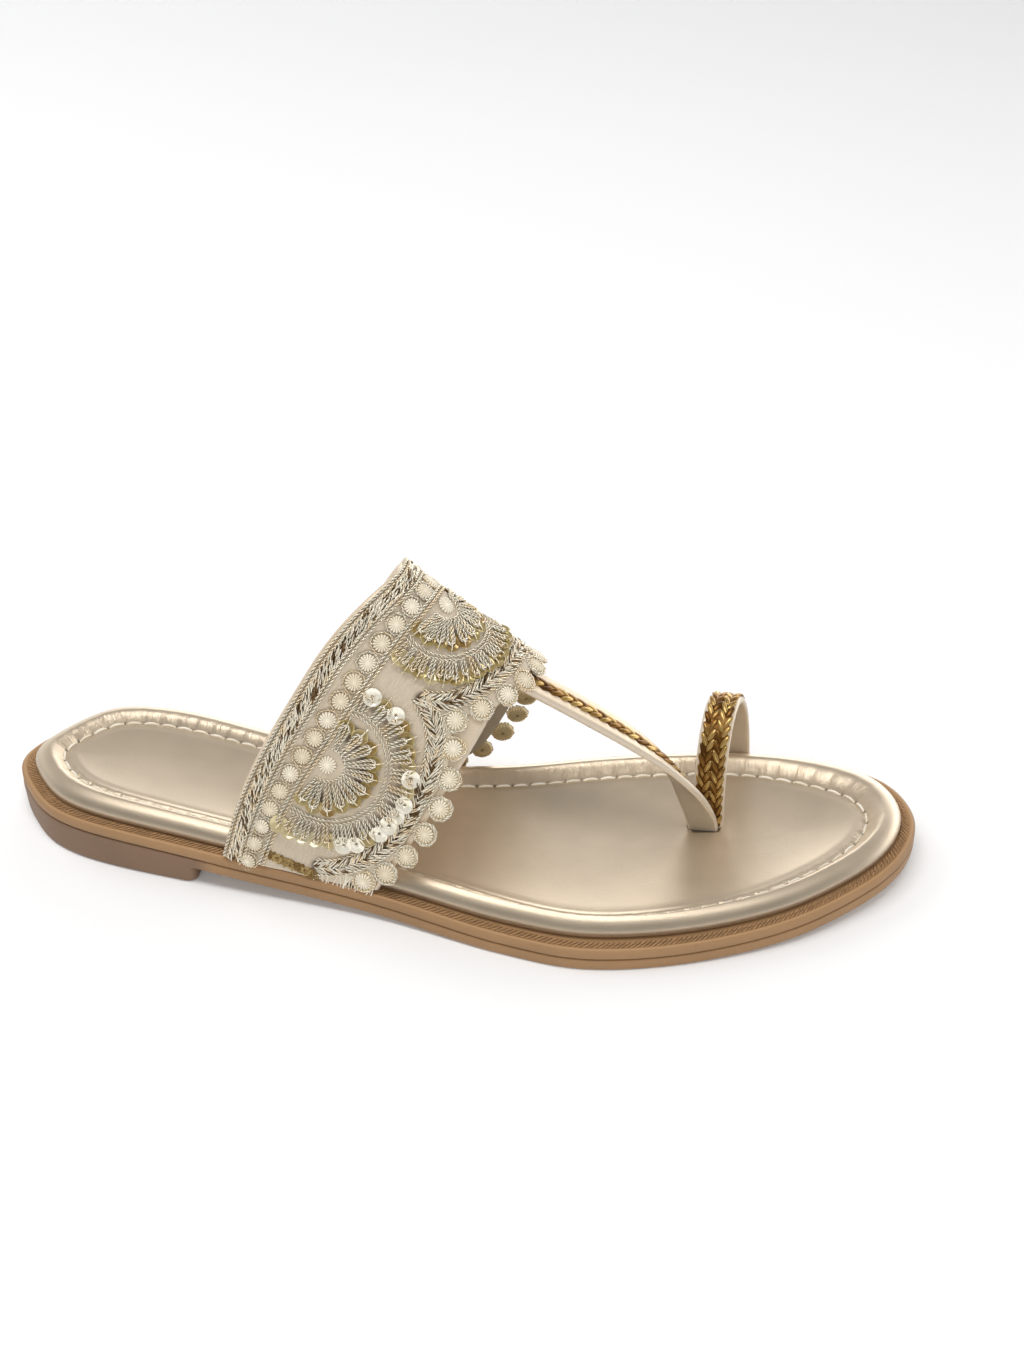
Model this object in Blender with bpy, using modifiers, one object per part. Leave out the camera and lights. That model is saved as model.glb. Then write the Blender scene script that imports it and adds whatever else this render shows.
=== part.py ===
"""Right kolhapuri chappal for a 250 mm sole, standing empty on the floor.

A moulded outsole with a low heel carries a welt and a padded footbed. The upper is
an open instep band, a thong strap and a toe ring, joined where they cross. X points
to the toe, Y to the medial side and Z up. The sizes below are in millimetres.
"""

import math

import bmesh
import bpy
from mathutils import Vector

MM = 0.001
COLLECTION = "kolhapuri_chappal"
CUTTERS = "cutters"

# The sole's plan, anticlockwise from the tip of the heel: lateral side, toe, medial side.
# Columns: x, y.
OUTLINE = (
    (-125, 9), (-118, -8), (-101, -20.5), (-61, -28), (-16, -34),
    (19, -42), (43, -44.8), (71, -38.5), (99, -25), (118, -7),
    (125, 14), (117, 33), (97, 43), (71, 44.5), (39, 38),
    (9, 29), (-23, 24), (-56, 30), (-86, 36), (-110, 32),
)
OUTLINE_STEPS = 16
OUTLINE_POINTS = 96
EDGE_POINTS = 400

# The outsole's upper face falls along a ramp from the heel to the forefoot, and rises
# again from the ball to the tip of the toe.
HEEL_TOP = 9.6
FOREFOOT_TOP = 3.2
RAMP_START = -106
RAMP_END = 24
SPRING_START = 59
SPRING_RISE = 4.5
TOE_X = 125
OUTSOLE_LAYER = 3.2
WELT = 2.9
# The space between touching pieces.
GAP = 0.3

# The heel stops at an upright front, the breast.
HEEL_BREAST_X = -66
HEEL_BREAST_MARGIN = 1
HEEL_BLOCK_TOP = 7.0
HEEL_BLOCK_INSET = 0.3
# Points nearer than this are one point.
WELD = 0.01
# A Boolean that changes less than this many cubic millimetres has failed.
SMALLEST_CHANGE = 1.0

# The footbed's section, from its lower edge over the rolled rim to the stitch channel.
# Columns: inset from the sole's outline, height over the welt.
RIM = (
    (4.6, 0.0), (4.2, 1.0), (4.3, 2.6), (5.2, 4.0), (7.0, 4.8),
    (9.2, 4.6), (11.4, 3.4), (13.0, 2.2), (15.0, 2.5),
)
# Rings between the channel and the middle of a layer, as shares of the way left.
INNER_RINGS = (0.66, 0.33, 0.08)
SPINE_HEEL = -97
SPINE_TOE = 91

# The instep band. Columns: x, y, z of its rear and front crest.
BAND_CREST_REAR = (-14, 3, 85)
BAND_CREST_FRONT = (18, 3, 58)
BAND_FOOT_LATERAL = (-58, -15)
BAND_FOOT_MEDIAL = (-55, 1)
BAND_FOOT_INSET = 1.6
BAND_CLEARANCE = 0.7
# How far the rear edge bows back on the lateral side. The bow is a wave whose power
# below its peak, taken from full, makes it start at the foot, and whose power above its
# peak, taken from nothing, makes it end softly before the crest.
BAND_BOW = 7.5
BAND_BOW_PEAK = 0.25
BAND_BOW_BELOW = 2.0
BAND_BOW_ABOVE = 1.5
# The power of the arch's sine and cosine: 1 is an ellipse, and less is squarer.
BAND_FULLNESS = 0.9
BAND_WALL = 1.8
BAND_STEPS_ROUND = 44
BAND_STEPS_LONG = 8

# The embroidered panel lies on the band, from near its rear edge to a scalloped edge.
PANEL_THICKNESS = 1.0
PANEL_GAP = 0.7
PANEL_REAR = 0.04
# Its front edge is three arcs that meet in corners, from the lateral foot to the medial.
# Columns: shares round the band where an arc starts and ends, shares of the band's
# length at its two corners and at its tip, steps round it.
SCALLOPS = (
    (0.015, 0.30, 0.60, 0.66, 0.98, 13),
    (0.30, 0.70, 0.66, 0.66, 0.97, 18),
    (0.70, 0.985, 0.66, 0.60, 0.98, 13),
)

# The thong strap past the band's front edge. Columns: x, y, z, turn of its width
# in degrees from crosswise to lengthwise.
STRAP_PATH = (
    (33, 4, 46.5, 0), (46, 4.5, 38.5, 8), (56, 5, 31, 25), (62.5, 5.6, 23.5, 50),
    (66.5, 6.8, 16.5, 74), (68.3, 8.0, 10.5, 88), (68.5, 8.3, 8.6, 90),
)
STRAP_WIDTH = 10.0
STRAP_THICKNESS = 2.0
STRAP_STEPS = 6
# It starts under the band, between these shares of the band's length.
STRAP_START_SHARES = (0.7, 1.0)
STRAP_UNDER_BAND = 2.2

# The toe ring. Columns: x, y, z.
RING_NEAR_FOOT = (69, 10.0, 8.6)
RING_CREST = (70.5, 28, 35)
RING_FAR_X = 74.5
RING_FAR_CLEARANCE = 1.3
RING_WIDTH = 8.6
RING_THICKNESS = 1.8
RING_STEPS = 28

# The slot in the footbed that takes the strap's end and the ring's near foot.
SLOT_LENGTH = 12.0
SLOT_WIDTH = 6.6
SLOT_CENTRE_Y = 9.4
SLOT_CUT_TOP = 40.0

# The braids on the strap and on the ring.
BRAID_THICKNESS = 1.2
BRAID_GAP = 0.55
THONG_BRAID_WIDTH = 3.8
RING_BRAID_WIDTH = 7.0
# Points of each strap's line that its braid leaves bare, at its start and its end.
THONG_BRAID_FIRST = 8
THONG_BRAID_LEFT = 14
RING_BRAID_FIRST = 5
RING_BRAID_LEFT = 4

# Edges that turn more than this many degrees stay sharp when a piece is shaded smooth.
SHARP_ANGLE = 40

# Columns: base colour, roughness, metallic.
MATERIALS = {
    "rubber": ((0.43, 0.25, 0.13), 0.65, 0.0),
    "welt_rubber": ((0.40, 0.23, 0.12), 0.7, 0.0),
    "metallic_leather": ((0.66, 0.55, 0.42), 0.35, 0.5),
    "embroidery": ((0.58, 0.50, 0.38), 0.7, 0.2),
    "bronze_braid": ((0.30, 0.17, 0.05), 0.35, 0.8),
}


def clear_scene():
    for obj in list(bpy.data.objects):
        bpy.data.objects.remove(obj, do_unlink=True)


def collection(name):
    found = bpy.data.collections.get(name) or bpy.data.collections.new(name)
    if name not in bpy.context.scene.collection.children:
        bpy.context.scene.collection.children.link(found)
    return found


def material(name):
    colour, roughness, metallic = MATERIALS[name]
    made = bpy.data.materials.get(name) or bpy.data.materials.new(name)
    made.use_nodes = True
    shader = made.node_tree.nodes["Principled BSDF"]
    shader.inputs["Base Color"].default_value = (*colour, 1.0)
    shader.inputs["Roughness"].default_value = roughness
    shader.inputs["Metallic"].default_value = metallic
    return made


def add_object(name, mesh_builder, material_name, home=COLLECTION):
    """Turn a bmesh in millimetres into a named object in metres."""
    mesh_builder.normal_update()
    bmesh.ops.recalc_face_normals(mesh_builder, faces=mesh_builder.faces)
    closed = all(edge.is_manifold for edge in mesh_builder.edges)
    if closed and mesh_builder.calc_volume(signed=True) < 0:
        bmesh.ops.reverse_faces(mesh_builder, faces=mesh_builder.faces)
    bmesh.ops.scale(mesh_builder, vec=(MM, MM, MM), verts=mesh_builder.verts)
    mesh = bpy.data.meshes.new(name)
    mesh_builder.to_mesh(mesh)
    mesh_builder.free()
    mesh.shade_smooth()
    mesh.set_sharp_from_angle(angle=math.radians(SHARP_ANGLE))
    mesh.materials.append(material(material_name))
    obj = bpy.data.objects.new(name, mesh)
    collection(home).objects.link(obj)
    return obj


# ---------------------------------------------------------------- curves

def catmull_rom(points, per_span, closed=False):
    """A smooth curve through the points, with per_span steps between each two."""
    vectors = [Vector(point) for point in points]
    count = len(vectors)
    spans = count if closed else count - 1

    def at(index):
        if closed:
            return vectors[index % count]
        if index < 0:
            return vectors[0] * 2 - vectors[1]
        if index >= count:
            return vectors[-1] * 2 - vectors[-2]
        return vectors[index]

    curve = []
    for span in range(spans):
        a, b, c, d = at(span - 1), at(span), at(span + 1), at(span + 2)
        for step in range(per_span):
            t = step / per_span
            curve.append(0.5 * (2 * b + (c - a) * t + (2 * a - 5 * b + 4 * c - d) * t ** 2
                                + (3 * b - a - 3 * c + d) * t ** 3))
    if not closed:
        curve.append(vectors[-1].copy())
    return curve


def evenly_spaced(loop, count):
    """The closed loop read again at equal distances."""
    ends = loop[1:] + loop[:1]
    lengths = [(b - a).length for a, b in zip(loop, ends)]
    step = sum(lengths) / count
    result, travelled, index = [], 0.0, 0
    for number in range(count):
        target = number * step
        while travelled + lengths[index] < target:
            travelled += lengths[index]
            index += 1
        share = (target - travelled) / lengths[index]
        result.append(loop[index].lerp(ends[index], share))
    return result


def inset(loop, distance):
    """The anticlockwise loop moved inwards by a distance."""
    count = len(loop)
    moved = []
    for index, point in enumerate(loop):
        along = (loop[(index + 1) % count] - loop[index - 1]).normalized()
        moved.append(point + Vector((-along.y, along.x)) * distance)
    return moved


def sole_outline(count=OUTLINE_POINTS):
    return evenly_spaced(catmull_rom(OUTLINE, OUTLINE_STEPS, closed=True), count)


def edge_y(x, side, distance):
    """Y of the outline, moved inwards, where it passes x on the lateral or medial side."""
    loop = inset(sole_outline(EDGE_POINTS), distance)
    crossings = []
    for a, b in zip(loop, loop[1:] + loop[:1]):
        if (a.x - x) * (b.x - x) <= 0 and a.x != b.x:
            crossings.append(a.y + (b.y - a.y) * (x - a.x) / (b.x - a.x))
    return min(crossings) if side == "lateral" else max(crossings)


# ---------------------------------------------------------------- heights

def between(a, b, share):
    return a + (b - a) * share


def smooth_step(value):
    share = min(max(value, 0.0), 1.0)
    return share * share * (3 - 2 * share)


def outsole_top(x):
    ramp = smooth_step((x - RAMP_START) / (RAMP_END - RAMP_START))
    spring = max(x - SPRING_START, 0.0) / (TOE_X - SPRING_START)
    return between(HEEL_TOP, FOREFOOT_TOP, ramp) + SPRING_RISE * spring ** 2


def outsole_bottom(x):
    return outsole_top(x) - OUTSOLE_LAYER


def welt_bottom(x):
    return outsole_top(x) + GAP


def welt_top(x):
    return welt_bottom(x) + WELT


def footbed_base(x):
    return welt_top(x) + GAP


# ---------------------------------------------------------------- solids

def toward_spine(loop, share):
    """The loop drawn in to the sole's middle line; a share of 0 reaches it."""
    drawn = []
    for point in loop:
        x = min(max(point.x, SPINE_HEEL), SPINE_TOE)
        middle = (edge_y(x, "lateral", 0) + edge_y(x, "medial", 0)) / 2
        drawn.append(Vector((x, middle)).lerp(point, share))
    return drawn


def raised(loop, height):
    return [Vector((point.x, point.y, height(point.x))) for point in loop]


def close_across(builder, row):
    """Fill a ring with faces that join its two sides, so that they follow its heights."""
    low, high = 0, len(row) - 1
    while high - low >= 2:
        corners = [row[low], row[low + 1], row[high - 1], row[high]]
        if low + 1 == high - 1:
            corners.pop(2)
        builder.faces.new(corners)
        low += 1
        high -= 1


def ring_solid(name, rings, material_name):
    """A closed solid through rings that run from the middle of its underside to that of its top."""
    builder = bmesh.new()
    rows = [[builder.verts.new(point) for point in ring] for ring in rings]
    for lower, upper in zip(rows, rows[1:]):
        for index in range(len(lower)):
            following = (index + 1) % len(lower)
            builder.faces.new((lower[index], lower[following], upper[following], upper[index]))
    close_across(builder, rows[0])
    close_across(builder, rows[-1])
    return add_object(name, builder, material_name)


def layer(name, loop, bottom, top, material_name):
    inner = [toward_spine(loop, share) for share in INNER_RINGS]
    rings = [raised(ring, bottom) for ring in reversed(inner)]
    rings += [raised(loop, bottom), raised(loop, top)]
    rings += [raised(ring, top) for ring in inner]
    return ring_solid(name, rings, material_name)


def volume(mesh):
    """The signed volume of a closed mesh, in cubic millimetres."""
    builder = bmesh.new()
    builder.from_mesh(mesh)
    result = builder.calc_volume(signed=True) / MM ** 3
    open_edges = sum(1 for edge in builder.edges if not edge.is_manifold)
    builder.free()
    if open_edges or result <= 0:
        raise ValueError(f"{mesh.name}: {open_edges} open edges, volume {result:.1f}")
    return result


def boolean(target, other, operation):
    """Apply an exact Boolean to the target, test its volume, and remove the other object."""
    before = volume(target.data)
    modifier = target.modifiers.new(operation.lower(), "BOOLEAN")
    modifier.object = other
    modifier.operation = operation
    modifier.solver = "EXACT"
    graph = bpy.context.evaluated_depsgraph_get()
    mesh = bpy.data.meshes.new_from_object(target.evaluated_get(graph))
    target.modifiers.clear()
    target.data = mesh
    after = volume(mesh)
    grows = operation == "UNION"
    if (after > before) != grows or abs(after - before) < SMALLEST_CHANGE:
        raise ValueError(f"{target.name}: {operation} took {before:.1f} to {after:.1f}")
    bpy.data.objects.remove(other, do_unlink=True)


def flat_piece(name, loop, bottom, top, material_name):
    """A piece with a flat outline, extruded straight up between two heights."""
    curve = bpy.data.curves.new(name, "CURVE")
    curve.dimensions = "2D"
    curve.fill_mode = "BOTH"
    curve.extrude = (top - bottom) / 2 * MM
    spline = curve.splines.new("POLY")
    spline.points.add(len(loop) - 1)
    spline.use_cyclic_u = True
    for point, place in zip(spline.points, loop):
        point.co = (place.x * MM, place.y * MM, 0, 1)
    guide = bpy.data.objects.new(name + "_curve", curve)
    collection(CUTTERS).objects.link(guide)
    graph = bpy.context.evaluated_depsgraph_get()
    mesh = bpy.data.meshes.new_from_object(guide.evaluated_get(graph))
    bpy.data.objects.remove(guide, do_unlink=True)
    builder = bmesh.new()
    builder.from_mesh(mesh)
    bpy.data.meshes.remove(mesh)
    bmesh.ops.scale(builder, vec=(1 / MM, 1 / MM, 1 / MM), verts=builder.verts)
    bmesh.ops.remove_doubles(builder, verts=builder.verts, dist=WELD)
    bmesh.ops.translate(builder, vec=(0, 0, (bottom + top) / 2), verts=builder.verts)
    return add_object(name, builder, material_name)


def box_cutter(name, low, high):
    builder = bmesh.new()
    bmesh.ops.create_cube(builder, size=1.0)
    size = Vector(high) - Vector(low)
    bmesh.ops.scale(builder, vec=size, verts=builder.verts)
    bmesh.ops.translate(builder, vec=(Vector(high) + Vector(low)) / 2, verts=builder.verts)
    cutter = add_object(name, builder, "rubber", CUTTERS)
    cutter.hide_render = True
    cutter.display_type = "WIRE"
    return cutter


def strip_frame(path, widths, index):
    """Directions across a strip and out of its outer face at one of its points."""
    before = path[max(index - 1, 0)]
    after = path[min(index + 1, len(path) - 1)]
    along = (after - before).normalized()
    across = (widths[index] - along * widths[index].dot(along)).normalized()
    return across, along.cross(across).normalized()


def strip(name, path, widths, thickness, width, material_name):
    """A flat strap along a path, whose width lies along the matching direction."""
    builder = bmesh.new()
    rows = []
    for index, point in enumerate(path):
        across, out = strip_frame(path, widths, index)
        corners = ((-1, -1), (1, -1), (1, 1), (-1, 1))
        rows.append([builder.verts.new(point + across * a * width / 2 + out * b * thickness / 2)
                     for a, b in corners])
    for first, second in zip(rows, rows[1:]):
        for index in range(4):
            following = (index + 1) % 4
            builder.faces.new((first[index], first[following], second[following], second[index]))
    builder.faces.new(rows[0][::-1])
    builder.faces.new(rows[-1])
    return add_object(name, builder, material_name)


# ---------------------------------------------------------------- sole and footbed

def make_heel_block():
    """The heel under the sole layer, with a straight upright front."""
    outline = inset(sole_outline(), HEEL_BLOCK_INSET)
    half = len(outline) // 2
    rearmost = HEEL_BREAST_X - HEEL_BREAST_MARGIN
    lateral = [point for point in outline[:half] if point.x < rearmost]
    medial = [point for point in outline[half:] if point.x < rearmost]
    front = [Vector((HEEL_BREAST_X, edge_y(HEEL_BREAST_X, side, HEEL_BLOCK_INSET)))
             for side in ("lateral", "medial")]
    loop = [front[1], *medial, *lateral, front[0]]
    return flat_piece("heel_block", loop, 0.0, HEEL_BLOCK_TOP, "rubber")


def make_outsole():
    sole = layer("outsole", sole_outline(), outsole_bottom, outsole_top, "rubber")
    boolean(sole, make_heel_block(), "UNION")
    return sole


def make_midsole():
    return layer("midsole", sole_outline(), welt_bottom, welt_top, "welt_rubber")


def make_footbed():
    outline = sole_outline()
    edge = inset(outline, RIM[0][0])
    inner = [toward_spine(edge, share) for share in INNER_RINGS]
    rings = [raised(ring, footbed_base) for ring in reversed(inner)]
    for distance, height in RIM:
        rings.append(raised(inset(outline, distance), lambda x: footbed_base(x) + height))
    last_distance, last_height = RIM[-1]
    channel = inset(outline, last_distance)
    for share in INNER_RINGS:
        ring = toward_spine(channel, share)
        rings.append(raised(ring, lambda x: footbed_base(x) + last_height))
    footbed = ring_solid("footbed", rings, "metallic_leather")
    x = RING_NEAR_FOOT[0]
    low = (x - SLOT_LENGTH / 2, SLOT_CENTRE_Y - SLOT_WIDTH / 2, 0)
    high = (x + SLOT_LENGTH / 2, SLOT_CENTRE_Y + SLOT_WIDTH / 2, SLOT_CUT_TOP)
    boolean(footbed, box_cutter("slot_cut", low, high), "DIFFERENCE")
    return footbed


# ---------------------------------------------------------------- upper

def band_feet(along):
    """The lateral and medial feet of the band's arch at a share from rear to front."""
    feet = []
    for side, stations in (("lateral", BAND_FOOT_LATERAL), ("medial", BAND_FOOT_MEDIAL)):
        x = between(*stations, along)
        feet.append(Vector((x, edge_y(x, side, BAND_FOOT_INSET), welt_top(x) + BAND_CLEARANCE)))
    return feet


def band_point(feet, around, along):
    """A point on the band's outer face: around from lateral to medial, along from rear to front."""
    lateral, medial = feet
    crest = Vector(BAND_CREST_REAR).lerp(Vector(BAND_CREST_FRONT), along)
    centre = (lateral + medial) / 2
    angle = math.pi * around
    across = math.copysign(abs(math.cos(angle)) ** BAND_FULLNESS, math.cos(angle))
    rise = math.sin(angle) ** BAND_FULLNESS
    wave = max(math.sin(2 * angle), 0.0)
    if around < BAND_BOW_PEAK:
        wave = 1 - (1 - wave) ** BAND_BOW_BELOW
    else:
        wave = wave ** BAND_BOW_ABOVE
    bow = BAND_BOW * (1 - along) * wave
    return (centre - across * (medial - lateral) / 2 + rise * (crest - centre)
            - Vector((bow, 0, 0)))


def solidified(obj, thickness, offset):
    modifier = obj.modifiers.new("wall", "SOLIDIFY")
    modifier.thickness = thickness * MM
    modifier.offset = offset
    modifier.use_even_offset = True
    graph = bpy.context.evaluated_depsgraph_get()
    mesh = bpy.data.meshes.new_from_object(obj.evaluated_get(graph))
    obj.modifiers.clear()
    obj.data = mesh


def grid_surface(name, rows, material_name):
    builder = bmesh.new()
    grid = [[builder.verts.new(point) for point in row] for row in rows]
    for first, second in zip(grid, grid[1:]):
        for index in range(len(first) - 1):
            builder.faces.new((first[index], second[index], second[index + 1], first[index + 1]))
    obj = add_object(name, builder, material_name)
    top = max(obj.data.polygons, key=lambda face: face.center.z)
    if top.normal.z < 0:
        obj.data.flip_normals()
    return obj


def make_band():
    rows = []
    for step in range(BAND_STEPS_LONG + 1):
        along = step / BAND_STEPS_LONG
        feet = band_feet(along)
        rows.append([band_point(feet, turn / BAND_STEPS_ROUND, along)
                     for turn in range(BAND_STEPS_ROUND + 1)])
    band = grid_surface("upper", rows, "metallic_leather")
    solidified(band, BAND_WALL, -1)
    return band


def strap_line():
    """Points and width directions of the thong strap, from under the band to the slot."""
    rear, front = Vector(BAND_CREST_REAR), Vector(BAND_CREST_FRONT)
    slope = (front - rear).normalized()
    down = slope.cross(Vector((0, 1, 0))).normalized()
    if down.z > 0:
        down.negate()
    start = [(*(rear.lerp(front, share) + down * STRAP_UNDER_BAND), 0.0)
             for share in STRAP_START_SHARES]
    path, widths = [], []
    for x, y, z, turn in catmull_rom([*start, *STRAP_PATH], STRAP_STEPS):
        path.append(Vector((x, y, z)))
        angle = math.radians(turn)
        widths.append(Vector((-math.sin(angle), math.cos(angle), 0)))
    return path, widths


def ring_line():
    """Points of the toe ring, from the slot over the toe to the medial edge."""
    near = Vector(RING_NEAR_FOOT)
    far_y = edge_y(RING_FAR_X, "medial", BAND_FOOT_INSET + RING_THICKNESS / 2)
    far = Vector((RING_FAR_X, far_y, welt_top(RING_FAR_X) + RING_FAR_CLEARANCE))
    centre = (near + far) / 2
    path = []
    for step in range(RING_STEPS + 1):
        angle = math.pi * step / RING_STEPS
        path.append(centre - math.cos(angle) * (far - near) / 2
                    + math.sin(angle) * (Vector(RING_CREST) - centre))
    return path, [Vector((-1, 0, 0))] * len(path)


def make_upper():
    upper = make_band()
    path, widths = strap_line()
    strap = strip("strap", path, widths, STRAP_THICKNESS, STRAP_WIDTH, "metallic_leather")
    path, widths = ring_line()
    ring = strip("ring", path, widths, RING_THICKNESS, RING_WIDTH, "metallic_leather")
    boolean(strap, ring, "UNION")
    boolean(upper, strap, "UNION")
    return upper


def scalloped_edge():
    """Points of the panel's front edge, as shares round and along the band."""
    edge = []
    for start, end, first_corner, last_corner, tip, steps in SCALLOPS:
        for step in range(steps):
            share = step / steps
            corner = between(first_corner, last_corner, share)
            arc = math.sqrt(1 - (2 * share - 1) ** 2)
            edge.append((between(start, end, share), between(corner, tip, arc)))
    edge.append((SCALLOPS[-1][1], SCALLOPS[-1][3]))
    return edge


def make_panel():
    edge = scalloped_edge()
    rows = []
    for step in range(BAND_STEPS_LONG + 1):
        row = []
        for around, reach in edge:
            along = between(PANEL_REAR, reach, step / BAND_STEPS_LONG)
            row.append(band_point(band_feet(along), around, along))
        rows.append(row)
    panel = grid_surface("embroidered_panel", rows, "embroidery")
    normals = [vertex.normal.copy() for vertex in panel.data.vertices]
    for vertex, normal in zip(panel.data.vertices, normals):
        vertex.co += normal * PANEL_GAP * MM
    solidified(panel, PANEL_THICKNESS, 1)
    return panel


def lifted(path, widths, distance):
    """The path moved off its strap's outer face."""
    return [point + strip_frame(path, widths, index)[1] * distance
            for index, point in enumerate(path)]


def make_braids():
    path, widths = strap_line()
    lift = STRAP_THICKNESS / 2 + BRAID_GAP + BRAID_THICKNESS / 2
    shown = slice(THONG_BRAID_FIRST, len(path) - THONG_BRAID_LEFT)
    strip("thong_braid", lifted(path, widths, lift)[shown], widths[shown],
          BRAID_THICKNESS, THONG_BRAID_WIDTH, "bronze_braid")
    path, widths = ring_line()
    lift = RING_THICKNESS / 2 + BRAID_GAP + BRAID_THICKNESS / 2
    shown = slice(RING_BRAID_FIRST, len(path) - RING_BRAID_LEFT)
    strip("ring_braid", lifted(path, widths, lift)[shown], widths[shown],
          BRAID_THICKNESS, RING_BRAID_WIDTH, "bronze_braid")


def main():
    clear_scene()
    make_outsole()
    make_midsole()
    make_footbed()
    make_upper()
    make_panel()
    make_braids()


main()
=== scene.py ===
"""The visible pieces and finishes of the right kolhapuri chappal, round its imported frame.

The sole, welt, padded footbed and straps are smooth meshes that stand for the CAD
nodes. The cloth on the band carries zari cords, satin-stitched pearls, petals and
sequins. Sizes in the code are in millimetres, in the frame's directions: X points to
the toe, Y to the medial side and Z up.
"""

import math
import random

import bmesh
import bpy
import numpy as np
from bpy.props import FloatProperty, FloatVectorProperty, PointerProperty
from mathutils import Matrix, Vector


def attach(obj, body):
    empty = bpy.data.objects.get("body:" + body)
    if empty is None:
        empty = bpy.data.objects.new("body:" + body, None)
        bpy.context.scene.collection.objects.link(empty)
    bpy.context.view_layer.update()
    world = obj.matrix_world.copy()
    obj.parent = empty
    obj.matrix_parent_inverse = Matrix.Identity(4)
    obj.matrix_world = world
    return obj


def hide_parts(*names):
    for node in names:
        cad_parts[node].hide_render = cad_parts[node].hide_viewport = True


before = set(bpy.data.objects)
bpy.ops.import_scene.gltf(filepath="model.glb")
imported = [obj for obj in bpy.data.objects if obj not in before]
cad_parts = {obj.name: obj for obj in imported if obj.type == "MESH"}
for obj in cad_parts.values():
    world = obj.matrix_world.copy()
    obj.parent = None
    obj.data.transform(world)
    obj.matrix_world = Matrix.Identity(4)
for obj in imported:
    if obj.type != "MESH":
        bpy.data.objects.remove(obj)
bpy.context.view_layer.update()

bl_info = {
    "name": "Kolhapuri Chappal",
    "version": (1, 0, 0),
    "blender": (4, 5, 0),
    "location": "3D View > Sidebar > Chappal",
    "description": "Makes the visible pieces and finishes of an embroidered sandal",
    "category": "Add Mesh",
}

MM = 0.001
BODY = "root"

# ---------------------------------------------------------------- sizes of the frame
# These repeat the CAD's own numbers, in millimetres.

OUTLINE = (
    (-125, 9), (-118, -8), (-101, -20.5), (-61, -28), (-16, -34),
    (19, -42), (43, -44.8), (71, -38.5), (99, -25), (118, -7),
    (125, 14), (117, 33), (97, 43), (71, 44.5), (39, 38),
    (9, 29), (-23, 24), (-56, 30), (-86, 36), (-110, 32),
)
OUTLINE_STEPS = 16
# Where the visible sole departs from the CAD's outline. Columns: x, y, spread, inward.
EASING = ((-118, 24, 20, 1.7), (-88, 37, 24, 1.0), (30, -43, 42, -1.6), (108, -16, 16, 0.9))
AROUND = 720
HEEL_TOP = 9.6
FOREFOOT_TOP = 3.2
RAMP_START = -106
RAMP_END = 24
SPRING_START = 59
SPRING_RISE = 4.5
TOE_X = 125
WELT = 2.9
GAP = 0.3
HEEL_BREAST_X = -66
SPINE_HEEL = -97
SPINE_TOE = 91

BAND_CREST_REAR = (-14, 3, 85)
BAND_CREST_FRONT = (18, 3, 58)
BAND_FOOT_LATERAL = (-58, -15)
BAND_FOOT_MEDIAL = (-55, 1)
BAND_FOOT_INSET = 1.6
BAND_CLEARANCE = 0.7
BAND_BOW = 7.5
BAND_BOW_PEAK = 0.25
BAND_BOW_BELOW = 2.0
BAND_BOW_ABOVE = 1.5
BAND_FULLNESS = 0.9
# The band's length from rear to front and once round, which distances on it refer to.
BAND_LENGTH = 44.0
BAND_GIRTH = 170.0

STRAP_PATH = (
    (33, 4, 46.5, 0), (46, 4.5, 38.5, 8), (55.6, 4.9, 31, 25), (61.4, 5.4, 23.5, 48),
    (64.9, 6.5, 16.5, 72), (67.0, 7.8, 10.5, 88), (67.7, 8.2, 7.4, 90),
)
# The strap narrows towards the slot. Columns: height, width.
STRAP_TAPER = ((8.0, 8.2), (16.0, 8.5), (25.0, 9.6), (32.0, 10.0))
STRAP_THICKNESS = 2.0
STRAP_STEPS = 12
STRAP_START_SHARES = (0.7, 1.0)
STRAP_UNDER_BAND = 2.2
RING_NEAR_FOOT = (69, 10.0, 8.6)
RING_CREST = (70.5, 28, 35)
RING_FAR_X = 74.5
RING_FAR_CLEARANCE = 1.3
RING_WIDTH = 8.6
RING_THICKNESS = 1.8
RING_STEPS = 72
SLOT_LENGTH = 12.0
SLOT_WIDTH = 6.6
SLOT_CENTRE_Y = 9.4
SLOT_FLOOR = 6.4
# The cut that shows in the leather: its centre, half its length and half its width.
SLOT_CUT = (67.95, 9.1, 4.5, 2.2)
STRAP_END_Z = 6.55

# ---------------------------------------------------------------- numbers and curves


def between(a, b, share):
    return a + (b - a) * share


def smooth_step(value):
    share = np.clip(value, 0.0, 1.0)
    return share * share * (3 - 2 * share)


def hump(value, centre, spread):
    """1 at the centre, falling to nothing like a bell."""
    return np.exp(-((value - centre) / spread) ** 2)


def catmull_rom(points, per_span, closed=False):
    """A smooth curve through the points, with per_span steps between each two."""
    points = np.asarray(points, float)
    if closed:
        padded = np.vstack([points[-1:], points, points[:2]])
    else:
        first = 2 * points[:1] - points[1:2]
        last = 2 * points[-1:] - points[-2:-1]
        padded = np.vstack([first, points, last])
    t = np.linspace(0, 1, per_span, endpoint=False)[:, None]
    spans = []
    for a, b, c, d in zip(padded, padded[1:], padded[2:], padded[3:]):
        spans.append(0.5 * (2 * b + (c - a) * t + (2 * a - 5 * b + 4 * c - d) * t ** 2
                            + (3 * b - a - 3 * c + d) * t ** 3))
    if not closed:
        spans.append(points[-1:])
    return np.vstack(spans)


def travelled(points):
    steps = np.linalg.norm(np.diff(points, axis=0), axis=1)
    return np.concatenate([[0.0], np.cumsum(steps)])


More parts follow.
